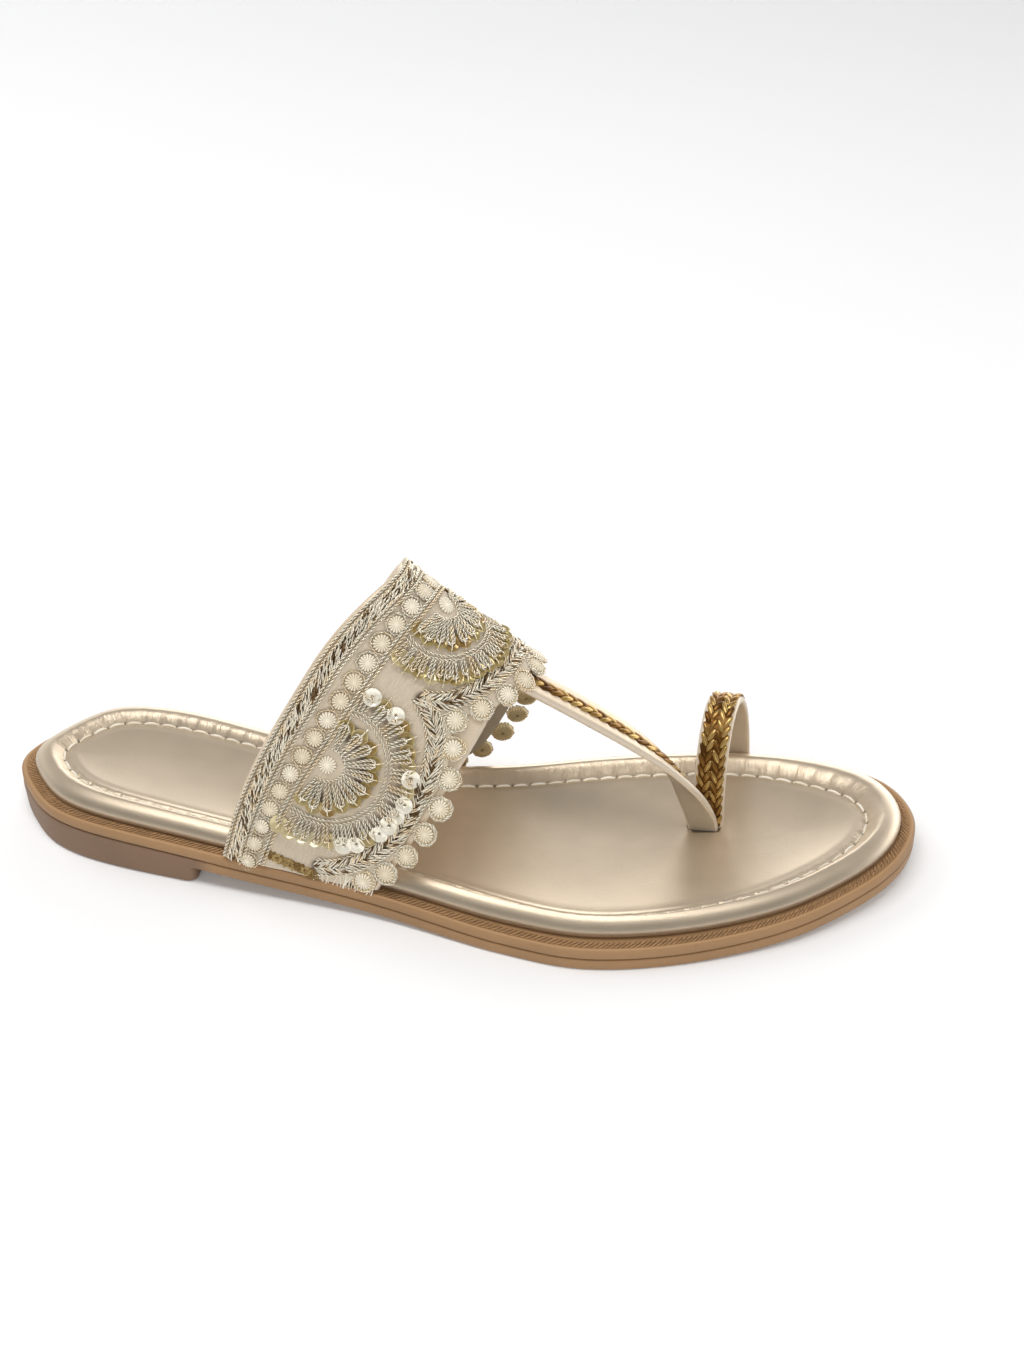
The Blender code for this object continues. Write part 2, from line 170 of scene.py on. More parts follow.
def evenly_spaced(points, count, closed=False):
    """The curve read again at equal distances."""
    path = np.vstack([points, points[:1]]) if closed else np.asarray(points, float)
    distance = travelled(path)
    wanted = np.linspace(0, distance[-1], count, endpoint=not closed)
    return np.stack([np.interp(wanted, distance, column) for column in path.T], 1)


def unit(vectors):
    return vectors / np.linalg.norm(vectors, axis=-1, keepdims=True)


# ---------------------------------------------------------------- the sole's plan

# How far apart the points are, to either side, that give the outline's direction.
SIDE_STEP = 6


def inward_of(loop):
    along = unit(np.roll(loop, -SIDE_STEP, axis=0) - np.roll(loop, SIDE_STEP, axis=0))
    return np.stack([-along[:, 1], along[:, 0]], 1)


def bells(loop, table, start=0.0):
    """An amount for each point of a loop: a constant, with bells round some places."""
    amount = np.full(len(loop), start)
    for x, y, spread, depth in table:
        amount += depth * hump(np.hypot(loop[:, 0] - x, loop[:, 1] - y), 0.0, spread)
    return amount


def eased_outline():
    """The CAD's outline, eased in or out by up to 2 mm where it is too full or too slack."""
    loop = evenly_spaced(catmull_rom(OUTLINE, OUTLINE_STEPS, closed=True), AROUND, closed=True)
    return loop + inward_of(loop) * bells(loop, EASING)[:, None]


def rounded(loop, reach):
    """The closed loop with its tighter bends softened over a reach in points."""
    steps = np.arange(-3 * reach, 3 * reach + 1)
    shares = np.exp(-0.5 * (steps / reach) ** 2)
    shares = shares / shares.sum()
    return sum(share * np.roll(loop, step, axis=0) for step, share in zip(steps, shares))


def lap(loop):
    """Distances travelled round a closed loop, ending with its whole length."""
    return travelled(np.vstack([loop, loop[:1]]))


SOLE = eased_outline()
SOLE_SOFT = rounded(SOLE, 9)
SOLE_INWARD = inward_of(SOLE_SOFT)
# The distance inwards at which the outline has its softened bends.
SOFT_BY = 12.0
PERIMETER = lap(SOLE)[-1]
ROUND_MM = np.arange(AROUND) * PERIMETER / AROUND


def inset(distance):
    """The sole's outline moved inwards, with softer bends further in."""
    distance = np.broadcast_to(np.asarray(distance, float), AROUND)[:, None]
    share = np.clip(distance / SOFT_BY, 0.0, 1.0)
    return between(SOLE, SOLE_SOFT, share) + SOLE_INWARD * distance


def edge_y(x, side, distance):
    """Y of the outline, moved inwards, where it passes x on the lateral or medial side."""
    loop = inset(distance)
    heel, toe = loop[:, 0].argmin(), loop[:, 0].argmax()
    order = (np.arange(AROUND) + heel) % AROUND
    reach = (toe - heel) % AROUND
    half = order[:reach + 1] if side == "lateral" else order[reach:][::-1]
    return np.interp(x, loop[half, 0], loop[half, 1])


def outsole_top(x):
    ramp = smooth_step((x - RAMP_START) / (RAMP_END - RAMP_START))
    spring = np.maximum(x - SPRING_START, 0.0) / (TOE_X - SPRING_START)
    return between(HEEL_TOP, FOREFOOT_TOP, ramp) + SPRING_RISE * spring ** 2


def welt_bottom(x):
    return outsole_top(x) + GAP


def welt_top(x):
    return welt_bottom(x) + WELT


def footbed_base(x):
    return welt_top(x) + GAP


def toward_spine(loop, share):
    """The loop drawn in to the sole's middle line; a share of 0 reaches it."""
    x = np.clip(loop[:, 0], SPINE_HEEL, SPINE_TOE)
    middle = (edge_y(x, "lateral", 0) + edge_y(x, "medial", 0)) / 2
    spine = np.stack([x, middle], 1)
    return spine + (loop - spine) * share


# ---------------------------------------------------------------- the band's surface


def band_shape(around, along):
    """A point on the band: around from its lateral foot to its medial, along to the front."""
    feet = []
    for side, stations in (("lateral", BAND_FOOT_LATERAL), ("medial", BAND_FOOT_MEDIAL)):
        x = between(*stations, along)
        y = edge_y(x, side, BAND_FOOT_INSET)
        feet.append(np.stack([x, y, welt_top(x) + BAND_CLEARANCE], -1))
    lateral, medial = feet
    rear, front = np.array(BAND_CREST_REAR, float), np.array(BAND_CREST_FRONT, float)
    crest = rear + (front - rear) * along[..., None]
    centre = (lateral + medial) / 2
    angle = math.pi * around
    cosine, sine = np.cos(angle), np.maximum(np.sin(angle), 0.0)
    across = np.copysign(np.abs(cosine) ** BAND_FULLNESS, cosine)
    rise = sine ** BAND_FULLNESS
    wave = np.maximum(np.sin(2 * angle), 0.0)
    wave = np.where(around < BAND_BOW_PEAK, 1 - (1 - wave) ** BAND_BOW_BELOW,
                    wave ** BAND_BOW_ABOVE)
    bow = BAND_BOW * (1 - along) * wave
    place = centre - across[..., None] * (medial - lateral) / 2 + rise[..., None] * (crest - centre)
    place[..., 0] -= bow
    return place


FOOT_MARGIN = 0.006
STEP = 1e-3


def band_frame(around, along):
    """Point, directions round and along, and outward normal on the band."""
    around, along = np.broadcast_arrays(np.asarray(around, float), np.asarray(along, float))
    inside = np.clip(around, FOOT_MARGIN, 1 - FOOT_MARGIN)
    base = band_shape(inside, along)
    per_round = (band_shape(inside + STEP, along) - band_shape(inside - STEP, along)) / (2 * STEP)
    per_along = (band_shape(inside, along + STEP) - band_shape(inside, along - STEP)) / (2 * STEP)
    normal = unit(np.cross(per_along, per_round))
    point = base + per_round * (around - inside)[..., None]
    return point, per_round, per_along, normal


def on_band(around, along, lift=0.0):
    """Points at a height over the band's leather."""
    point, _, _, normal = band_frame(around, along)
    return point + normal * np.broadcast_to(lift, point.shape[:-1])[..., None]


def dots(first, second, keep=False):
    return (first * second).sum(-1, keepdims=keep)


def surface_step(per_round, per_along, move):
    """The changes round and along the band that carry a point by a vector."""
    a, b, c = dots(per_round, per_round), dots(per_round, per_along), dots(per_along, per_along)
    p, q = dots(per_round, move), dots(per_along, move)
    scale = a * c - b * b
    return (c * p - b * q) / scale, (a * q - b * p) / scale


def mirrored(table):
    """A line round the band, given to the crest, with its other half added."""
    return list(table) + [(1 - around, along) for around, along in reversed(table[:-1])]


def read_line(table, around):
    """Along, where a line round the band is at the given shares round."""
    curve = catmull_rom(table, 8)
    return np.interp(around, curve[:, 0], curve[:, 1])


def shortest_path_table(around, along, turned, reach, step, spacing):
    """Places on the band by distance and direction from one point, along its surface."""
    angles = np.radians(np.arange(0, 360 + spacing, spacing))
    u, v = np.full(len(angles), around), np.full(len(angles), along)
    _, per_round, per_along, normal = band_frame(u, v)
    first = unit(per_round)
    second = np.cross(normal, first)
    second *= np.sign(dots(second, per_along, keep=True))
    first = first * (-1 if turned else 1)
    heading = np.cos(angles)[:, None] * first + np.sin(angles)[:, None] * second
    rows = [(u, v)]
    for _ in range(int(reach / step)):
        _, per_round, per_along, _ = band_frame(u, v)
        round_by, along_by = surface_step(per_round, per_along, heading)
        u, v = u + step * round_by, v + step * along_by
        _, _, _, normal = band_frame(u, v)
        heading = unit(heading - normal * dots(heading, normal, keep=True))
        rows.append((u, v))
    return np.array(rows)


class Chart:
    """Distances and directions on the band from one point. 0 degrees is up the side
    (towards the crest), and 90 degrees is to the front."""

    REACH = 30.0
    GRAIN = 0.5
    SPACING = 5

    def __init__(self, around, along, turned=False, size=1.0):
        self.size = size
        self.table = shortest_path_table(around, along, turned, self.REACH, self.GRAIN,
                                         self.SPACING)

    def at(self, radius, degrees):
        radius, degrees = np.broadcast_arrays(np.asarray(radius, float),
                                              np.asarray(degrees, float))
        row = np.clip(radius * self.size / self.GRAIN, 0, len(self.table) - 1.001)
        column = np.mod(degrees, 360) / self.SPACING
        low_row, low_column = row.astype(int), column.astype(int)
        high_column = np.minimum(low_column + 1, self.table.shape[2] - 1)
        down, side = row - low_row, column - low_column
        place = 0
        for first, share in ((low_row, 1 - down), (low_row + 1, down)):
            for second, other in ((low_column, 1 - side), (high_column, side)):
                place = place + self.table[first, :, second] * (share * other)[..., None]
        return place[..., 0], place[..., 1]


# ---------------------------------------------------------------- meshes


def new_object(name, data):
    """An object in the scene, at the origin."""
    obj = bpy.data.objects.new(name, data)
    bpy.context.scene.collection.objects.link(obj)
    return obj


def store(mesh, name, values, kind="FLOAT", field="value"):
    """One number or vector for each point of a mesh, under a name."""
    mesh.attributes.new(name, kind, "POINT").data.foreach_set(field, values)


def applied(obj):
    """The object with the plain mesh that its modifiers make, and no modifiers."""
    graph = bpy.context.evaluated_depsgraph_get()
    mesh = bpy.data.meshes.new_from_object(obj.evaluated_get(graph))
    obj.modifiers.clear()
    obj.data = mesh
    return obj


class Shape:
    """Points and faces of one piece in millimetres, with a tone and a place for each point."""

    def __init__(self):
        self.points, self.tones, self.places, self.faces = [], [], [], []
        self.count = 0

    def add(self, points, faces, tone=0.5, place=None):
        points = np.asarray(points, float).reshape(-1, 3)
        number = len(points)
        place = np.zeros((number, 2)) if place is None else np.reshape(place, (-1, 2))
        self.points.append(points)
        self.tones.append(np.broadcast_to(np.reshape(tone, -1), number))
        self.places.append(place)
        self.faces += [tuple(index + self.count for index in face) for face in faces]
        self.count += number

    def finish(self, name, look, sharp=None):
        """A named object in metres, at the origin, with its faces turned outwards."""
        mesh = bpy.data.meshes.new(name)
        points = np.vstack(self.points) * MM
        mesh.from_pydata(points.tolist(), [], self.faces)
        store(mesh, "tone", np.concatenate(self.tones).astype(np.float32))
        places = np.vstack(self.places)
        corner = np.empty(len(mesh.loops), np.int32)
        mesh.loops.foreach_get("vertex_index", corner)
        layer = mesh.uv_layers.new(name="surface")
        layer.data.foreach_set("uv", places[corner].astype(np.float32).ravel())
        tidy_faces(mesh)
        mesh.shade_smooth()
        if sharp is not None:
            mesh.set_sharp_from_angle(angle=math.radians(sharp))
        mesh.materials.append(look)
        return new_object(name, mesh)


def tidy_faces(mesh):
    """Merge a mesh's doubled points and turn its faces outwards."""
    builder = bmesh.new()
    builder.from_mesh(mesh)
    bmesh.ops.remove_doubles(builder, verts=builder.verts, dist=1e-7)
    bmesh.ops.recalc_face_normals(builder, faces=builder.faces)
    builder.to_mesh(mesh)
    builder.free()


def grid_faces(rows, columns, loop_rows=False, loop_columns=False):
    """Faces between points that lie in rows and columns."""
    faces = []
    for row in range(rows if loop_rows else rows - 1):
        below = (row + 1) % rows
        for column in range(columns if loop_columns else columns - 1):
            beside = (column + 1) % columns
            faces.append((row * columns + column, row * columns + beside,
                          below * columns + beside, below * columns + column))
    return faces


def across_faces(start, count):
    """Faces that close a ring with an even number of points by joining its two sides."""
    last = start + count - 1
    return [(start + step, start + step + 1, last - step - 1, last - step)
            for step in range(count // 2 - 1)]


def layer_faces(rings, count):
    """Faces through rings of points, closed across the first and the last."""
    return (grid_faces(rings, count, loop_columns=True) + across_faces(0, count)
            + across_faces((rings - 1) * count, count))


def strip_faces(rows, columns):
    """Faces of a closed section that is carried along a path, with its two ends."""
    ends = [tuple(row * columns + column for row in range(rows)) for column in (0, columns - 1)]
    return grid_faces(rows, columns, loop_rows=True) + ends


def lathe_faces(rings, sides):
    """Faces of a closed round shape whose first and last rings close on themselves."""
    ends = [tuple(range(first, first + sides)) for first in (0, (rings - 1) * sides)]
    return grid_faces(rings, sides, loop_columns=True) + ends


def with_height(plan, height):
    return np.column_stack([plan, np.broadcast_to(height, len(plan))])


def strip_directions(path, widths):
    """For each point of a strap: directions along it, across it and out of its outer face."""
    path = np.asarray(path, float)
    along = np.empty_like(path)
    along[1:-1] = path[2:] - path[:-2]
    along[0], along[-1] = path[1] - path[0], path[-1] - path[-2]
    along = unit(along)
    widths = np.asarray(widths, float)
    across = unit(widths - along * (widths * along).sum(-1, keepdims=True))
    return along, across, unit(np.cross(along, across))


def turned_matrix(point, forward, up, size=1.0):
    """A placement whose X is forward and whose Z is up, for one repeated shape."""
    z = Vector(up).normalized()
    x = Vector(forward)
    x = (x - z * x.dot(z)).normalized()
    y = z.cross(x)
    return np.array(point, float), Matrix((x, y, z)).transposed().to_euler(), size


# ---------------------------------------------------------------- repeated shapes


class Tree:
    """A node tree in which each node is made with its settings and inputs in one call."""

    def __init__(self, tree):
        self.tree = tree

    def node(self, kind, settings=None, inputs=None, output=0):
        made = self.tree.nodes.new(kind)
        for key, value in (settings or {}).items():
            setattr(made, key, value)
        for key, value in (inputs or {}).items():
            self.put(made.inputs[key], value)
        return made.outputs[output] if len(made.outputs) else made

    def math(self, operation, *values, clamp=False):
        settings = {"operation": operation, "use_clamp": clamp}
        return self.node("ShaderNodeMath", settings, dict(enumerate(values)))

    def put(self, socket, value):
        value = getattr(value, "socket", value)
        if isinstance(value, (tuple, list)) and value and hasattr(value[0], "is_output"):
            for item in value:
                self.tree.links.new(item, socket)
        elif hasattr(value, "is_output"):
            self.tree.links.new(value, socket)
        else:
            socket.default_value = value


def node_group(name, sockets):
    """A geometry tree with named inputs; returns it and its inputs by name."""
    group = bpy.data.node_groups.new(name, "GeometryNodeTree")
    group.interface.new_socket("Geometry", in_out="OUTPUT", socket_type="NodeSocketGeometry")
    group.interface.new_socket("Geometry", in_out="INPUT", socket_type="NodeSocketGeometry")
    for label, kind, value in sockets:
        made = group.interface.new_socket(label, in_out="INPUT", socket_type=kind)
        if value is not None:
            made.default_value = value
    tree = Tree(group)
    entry = group.nodes.new("NodeGroupInput")
    return tree, {socket.name: socket for socket in entry.outputs if socket.name}


def end_tree(tree, geometry, look):
    """The finished tree: real, smooth geometry with its material."""
    real = tree.node("GeometryNodeRealizeInstances", inputs={"Geometry": geometry})
    smooth = tree.node("GeometryNodeSetShadeSmooth", inputs={"Geometry": real})
    named = tree.node("GeometryNodeSetMaterial", inputs={"Geometry": smooth, "Material": look})
    leave = tree.tree.nodes.new("NodeGroupOutput")
    tree.tree.links.new(named, leave.inputs[0])
    return tree.tree


def make_cord_tree():
    """Sweeps one or two round plies, twisted round each other, along every path."""
    tree, value = node_group("twisted_cord", (
        ("Ply radius", "NodeSocketFloat", 0.00025),
        ("Ply offset", "NodeSocketFloat", 0.0002),
        ("Turn length", "NodeSocketFloat", 0.0027),
        ("Step", "NodeSocketFloat", 0.00034),
        ("Sides", "NodeSocketInt", 4),
        ("Material", "NodeSocketMaterial", None),
    ))
    curve = tree.node("GeometryNodeMeshToCurve", inputs={"Mesh": value["Geometry"]})
    curve = tree.node("GeometryNodeResampleCurve", {"mode": "LENGTH"},
                      {"Curve": curve, "Length": value["Step"]})
    length = tree.node("GeometryNodeSplineParameter", output="Length")
    turns = tree.math("DIVIDE", length, value["Turn length"])
    tilt = tree.math("MULTIPLY", turns, math.tau)
    curve = tree.node("GeometryNodeSetCurveTilt", inputs={"Curve": curve, "Tilt": tilt})
    ring = tree.node("GeometryNodeCurvePrimitiveCircle", {"mode": "RADIUS"},
                     {"Resolution": value["Sides"], "Radius": value["Ply radius"]})
    plies = []
    for side in (1, -1):
        away = tree.math("MULTIPLY", value["Ply offset"], float(side))
        shift = tree.node("ShaderNodeCombineXYZ", inputs={"X": away})
        plies.append(tree.node("GeometryNodeTransform",
                               inputs={"Geometry": ring, "Translation": shift}))
    profile = tree.node("GeometryNodeJoinGeometry", inputs={"Geometry": tuple(plies)})
    # Painted shade: the side of each ply that faces the other is darkened as a gap.
    place = tree.node("GeometryNodeInputPosition")
    reach = tree.node("ShaderNodeVectorMath", {"operation": "LENGTH"}, {0: place},
                      output="Value")
    full = tree.math("ADD", value["Ply radius"], value["Ply offset"])
    share = tree.math("DIVIDE", reach, full)
    gap = tree.node("ShaderNodeMapRange", None,
                    {"Value": share, "From Min": 0.72, "From Max": 0.2})
    profile = tree.node("GeometryNodeStoreNamedAttribute",
                        {"data_type": "FLOAT", "domain": "POINT"},
                        {"Geometry": profile, "Name": "gap", "Value": gap})
    swept = tree.node("GeometryNodeCurveToMesh",
                      inputs={"Curve": curve, "Profile Curve": profile, "Fill Caps": True})
    return end_tree(tree, swept, value["Material"])


def make_tube_tree():
    """Sweeps one round thread along every path, as thick as the path's own size says."""
    tree, value = node_group("thread", (
        ("Radius", "NodeSocketFloat", 0.0003),
        ("Sides", "NodeSocketInt", 5),
        ("Material", "NodeSocketMaterial", None),
    ))
    curve = tree.node("GeometryNodeMeshToCurve", inputs={"Mesh": value["Geometry"]})
    ring = tree.node("GeometryNodeCurvePrimitiveCircle", {"mode": "RADIUS"},
                     {"Resolution": value["Sides"], "Radius": value["Radius"]})
    swept = tree.node("GeometryNodeCurveToMesh",
                      inputs={"Curve": curve, "Profile Curve": ring, "Fill Caps": True})
    return end_tree(tree, swept, value["Material"])


def make_scatter_tree():
    """Puts a shape on every point, turned and sized as the point's attributes say."""
    tree, value = node_group("placed_shapes", (
        ("Shape", "NodeSocketObject", None),
        ("Size", "NodeSocketFloat", 1.0),
        ("Material", "NodeSocketMaterial", None),
    ))
    shape = tree.node("GeometryNodeObjectInfo", inputs={"Object": value["Shape"]},
                      output="Geometry")
    turn = tree.node("GeometryNodeInputNamedAttribute", {"data_type": "FLOAT_VECTOR"},
                     {"Name": "turn"})
    turn = tree.node("FunctionNodeEulerToRotation", inputs={"Euler": turn})
    size = tree.node("GeometryNodeInputNamedAttribute", {"data_type": "FLOAT"},
                     {"Name": "size"})
    size = tree.math("MULTIPLY", size, value["Size"])
    placed = tree.node("GeometryNodeInstanceOnPoints",
                       inputs={"Points": value["Geometry"], "Instance": shape,
                               "Rotation": turn, "Scale": size})
    return end_tree(tree, placed, value["Material"])


def grown(name, mesh, group, values):
    """The plain mesh that a geometry tree makes from a mesh of points or lines."""
    obj = new_object(name, mesh)
    modifier = obj.modifiers.new("grow", "NODES")
    modifier.node_group = group
    for item in group.interface.items_tree:
        if item.in_out == "INPUT" and item.name in values:
            modifier[item.identifier] = values[item.name]
    applied(obj).data.name = name
    bpy.data.meshes.remove(mesh)
    if not obj.data.polygons:
        raise RuntimeError(f"{name}: its geometry tree made nothing")
    return obj


class Lines:
    """Paths in millimetres that cords or threads follow."""

    def __init__(self):
        self.points, self.edges, self.tones = [], [], []

    def add(self, path, closed=False, tone=0.5):
        start = len(self.points)
        path = np.asarray(path, float)
        self.points += (path * MM).tolist()
        self.tones += np.broadcast_to(tone, len(path)).tolist()
        self.edges += [(start + index, start + index + 1) for index in range(len(path) - 1)]
        if closed:
            self.edges.append((start + len(path) - 1, start))

    def mesh(self, name):
        mesh = bpy.data.meshes.new(name + "_paths")
        mesh.from_pydata(self.points, self.edges, [])
        store(mesh, "tone", self.tones)
        return mesh

    def cords(self, name, look, radius=0.25, offset=0.2, turn=2.7, step=0.36, sides=4):
        group = bpy.data.node_groups.get("twisted_cord") or make_cord_tree()
        return grown(name, self.mesh(name), group, {
            "Ply radius": radius * MM, "Ply offset": offset * MM, "Turn length": turn * MM,
            "Step": step * MM, "Sides": sides, "Material": look})

    def threads(self, name, look, radius=0.3, sides=5):
        group = bpy.data.node_groups.get("thread") or make_tube_tree()
        return grown(name, self.mesh(name), group,
                     {"Radius": radius * MM, "Sides": sides, "Material": look})


def scatter(name, places, shape, look, tones):
    """One shape at every placement, as one plain mesh."""
    mesh = bpy.data.meshes.new(name + "_points")
    mesh.from_pydata([(point * MM).tolist() for point, _, _ in places], [], [])
    store(mesh, "turn", [value for _, turn, _ in places for value in turn],
          "FLOAT_VECTOR", "vector")
    store(mesh, "size", [amount for _, _, amount in places])
    store(mesh, "tone", tones)
    group = bpy.data.node_groups.get("placed_shapes") or make_scatter_tree()
    obj = grown(name, mesh, group, {"Shape": shape, "Size": 1.0, "Material": look})
    bpy.data.objects.remove(shape, do_unlink=True)
    return obj


def round_shape(name, rings, sides, spot, faces=None):
    """A small shape to repeat, in millimetres, with painted shade in its gaps. It has no tone.

    For each ring and each side of it, spot gives x, y, z and how much painted shade its gap takes
    there, from the ring, the side's number, and its angle's cosine and sine."""
    rows = []
    for ring in rings:
        for side in range(sides):
            angle = math.tau * side / sides
            rows.append(spot(ring, side, math.cos(angle), math.sin(angle)))
    mesh = bpy.data.meshes.new(name)
    points = np.array(rows, float)
    mesh.from_pydata((points[:, :3] * MM).tolist(), [], faces or lathe_faces(len(rings), sides))
    store(mesh, "gap", points[:, 3])
    tidy_faces(mesh)
    return new_object(name, mesh)


def lathe(name, profile, sides, ripple):
    """A small round shape to repeat, from a profile of radius and height."""
    def spot(ring, side, cosine, sine):
        reach, rise, gap = ripple(*ring, side)
        return reach * cosine, reach * sine, rise, gap

    return round_shape(name, profile, sides, spot)


# ---------------------------------------------------------------- materials


class Value:
    """A socket of a shader tree, so that maths on it is written as an expression."""

    def __init__(self, look, socket):
        self.look, self.socket = look, socket

    def math(self, operation, *others, clamp=False):
        return self.look.math(operation, self, *others, clamp=clamp)

    def __add__(self, other):
        return self.math("ADD", other)

    __radd__ = __add__

    def __sub__(self, other):
        return self.math("SUBTRACT", other)

    def __rsub__(self, other):
        return (self * -1.0).math("ADD", other)

    def __mul__(self, other):
        return self.math("MULTIPLY", other)

    __rmul__ = __mul__

    def clamped(self):
        return self.math("ADD", 0.0, clamp=True)

    def ramp(self, low, high):
        """0 below low and 1 above high, smoothly."""
        return self.look.node("ShaderNodeMapRange", {"interpolation_type": "SMOOTHSTEP"},
                              {"Value": self, "From Min": low, "From Max": high})


class Look(Tree):
    """A procedural material with one principled shader."""

    def __init__(self, name):
        self.material = bpy.data.materials.new(name)
        self.material.use_nodes = True
        super().__init__(self.material.node_tree)
        self.shader = self.tree.nodes["Principled BSDF"]

    def node(self, kind, settings=None, inputs=None, output=0):
        return Value(self, super().node(kind, settings, inputs, output))

    def object_place(self):
        return self.node("ShaderNodeTexCoord", output="Object")

    def surface_place(self):
        return self.node("ShaderNodeUVMap", {"uv_map": "surface"})

    def axes(self, place):
        parts = self.tree.nodes.new("ShaderNodeSeparateXYZ")
        self.put(parts.inputs[0], place)
        return [Value(self, socket) for socket in parts.outputs]

    def read(self, name):
        """A number that the mesh holds for each point, such as its tone or its gap."""
        return self.node("ShaderNodeAttribute", {"attribute_name": name}, output="Fac")

    def stretched(self, place, scale):
        return self.node("ShaderNodeMapping", None, {"Vector": place, "Scale": scale})

    def noise(self, place, scale, detail=2.0, roughness=0.5):
        return self.node("ShaderNodeTexNoise", None,
                         {"Vector": place, "Scale": scale, "Detail": detail,
                          "Roughness": roughness})

    def cells(self, place, scale):
        return self.node("ShaderNodeTexVoronoi", {"feature": "F1"},
                         {"Vector": place, "Scale": scale})

    def mix(self, share, first, second):
        """A colour between two colours."""
        return self.node("ShaderNodeMix", {"data_type": "RGBA"},
                         {0: share, 6: first, 7: second}, output=2)

    def layered(self, body, *layers):
        """A colour with others laid on it in turn, each by its own share."""
        for share, tint in layers:
            body = self.mix(share, body, tint)
        return body

    def bump(self, height, distance, strength=1.0, normal=None):
        inputs = {"Height": height, "Distance": distance, "Strength": strength}
        if normal is not None:
            inputs["Normal"] = normal
        return self.node("ShaderNodeBump", None, inputs)

    def finish(self, **sockets):
        """The material, with the principled shader's sockets set by name."""
        for key, value in sockets.items():
            self.put(self.shader.inputs[key.replace("_", " ")], value)
        return self.material


def colour(red, green, blue):
    """A linear colour from screen values of 0 to 255."""
    parts = []
    for value in (red, green, blue):
        share = value / 255
        parts.append(share / 12.92 if share <= 0.04045 else ((share + 0.055) / 1.055) ** 2.4)
    return (*parts, 1.0)


def darker(tint, share):
    return (*(value * share for value in tint[:3]), 1.0)


def leather_look(name, tint, grain, roughness, metallic, wrinkles=0.0, coat=0.0):
    """Foil-coated leather with a fine pebble grain, soft creases, pale edges, and painted shade
    where its tone is low.
    """
    look = Look(name)
    place = look.object_place()
    pebbles = look.cells(place, 1.0 / (grain * MM))
    fine = look.noise(place, 2600.0, 3.0)
    broad = look.noise(place, 42.0, 3.0)
    cloudy = look.noise(place, 160.0, 2.0)
    tone = look.read("tone")
    mottled = look.mix((broad * 0.5 + cloudy * 0.5).ramp(0.3, 0.7), darker(tint, 0.97),
                       darker(tint, 1.03))
    # A tone above one half is a pale dyed edge, which on the band's rolled front rim also stands
    # for a painted highlight; a tone below it is painted shade in a recess, hole or underside.
    shade = look.layered(mottled, (tone.ramp(0.6, 0.95), colour(214, 200, 180)),
                         (tone.ramp(0.42, 0.02), darker(tint, 0.18)))
    normal = look.bump(pebbles * 0.6 + fine * 0.5, 0.00004, 0.55)
    if wrinkles:
        creases = look.noise(place, 95.0, 3.0, 0.6)
        normal = look.bump(creases, wrinkles * MM, 0.6, normal)
        # Fine gathers that run across the roll, next to the stitches.
        surface = look.surface_place()
        _, distance, _ = look.axes(surface)
        near = distance.ramp(7.5, 11.0) * distance.ramp(15.5, 13.0)
        gather_place = look.stretched(surface, (0.85, 0.16, 1.0))
        gathers = look.noise(gather_place, 1.0, 4.0, 0.6) * near
        normal = look.bump(gathers, 0.00045, 0.7, normal)
    rough = (cloudy - 0.5) * 0.06 + fine * 0.1 + (roughness - 0.05)
    return look.finish(Base_Color=shade, Roughness=rough, Metallic=metallic, Normal=normal,
                       Coat_Weight=coat, Coat_Roughness=0.38)


# Where the outsole's rubber changes its tint, over how far, in millimetres.
RUBBER_CHANGE = -60
RUBBER_CHANGE_REACH = 6
# Distances between the cloth's threads, in millimetres.
WARP_PITCH = 0.42
WEFT_PITCH = 0.36


def rubber_look(name, tint, rear=None):
    """Moulded rubber with a fine speckle and scuffs, another tint at the heel, and painted shade
    where the layers meet.
    """
    look = Look(name)
    place = look.object_place()
    fine = look.noise(place, 1500.0, 3.0, 0.7)
    streaks = look.noise(look.stretched(place, (0.25, 0.25, 1.6)), 420.0, 4.0, 0.7)
    broad = look.noise(place, 30.0, 2.0)
    tone = look.read("tone")

    def tinted_and_shaded(base):
        # The last two: the chamfered top edge is paler, and painted shade darkens the faces that
        # lie between the layers.
        return look.layered(darker(base, 0.93),
                            (broad.ramp(0.35, 0.65), darker(base, 1.07)),
                            (fine.ramp(0.45, 0.8) * 0.35, darker(base, 1.35)),
                            (streaks.ramp(0.55, 0.8) * 0.25, darker(base, 0.75)),
                            (tone.ramp(0.6, 0.95) * 0.55, darker(base, 1.5)),
                            (tone.ramp(0.4, 0.05), darker(base, 0.16)))

    body = tinted_and_shaded(tint)
    if rear:
        behind = look.axes(place)[0].ramp(RUBBER_CHANGE * MM,
                                          (RUBBER_CHANGE - RUBBER_CHANGE_REACH) * MM)
        body = look.mix(behind, body, tinted_and_shaded(rear))
    normal = look.bump(fine * 0.7 + streaks * 0.3, 0.00006, 0.5)
    return look.finish(Base_Color=body, Roughness=fine * 0.2 + 0.5, Normal=normal)


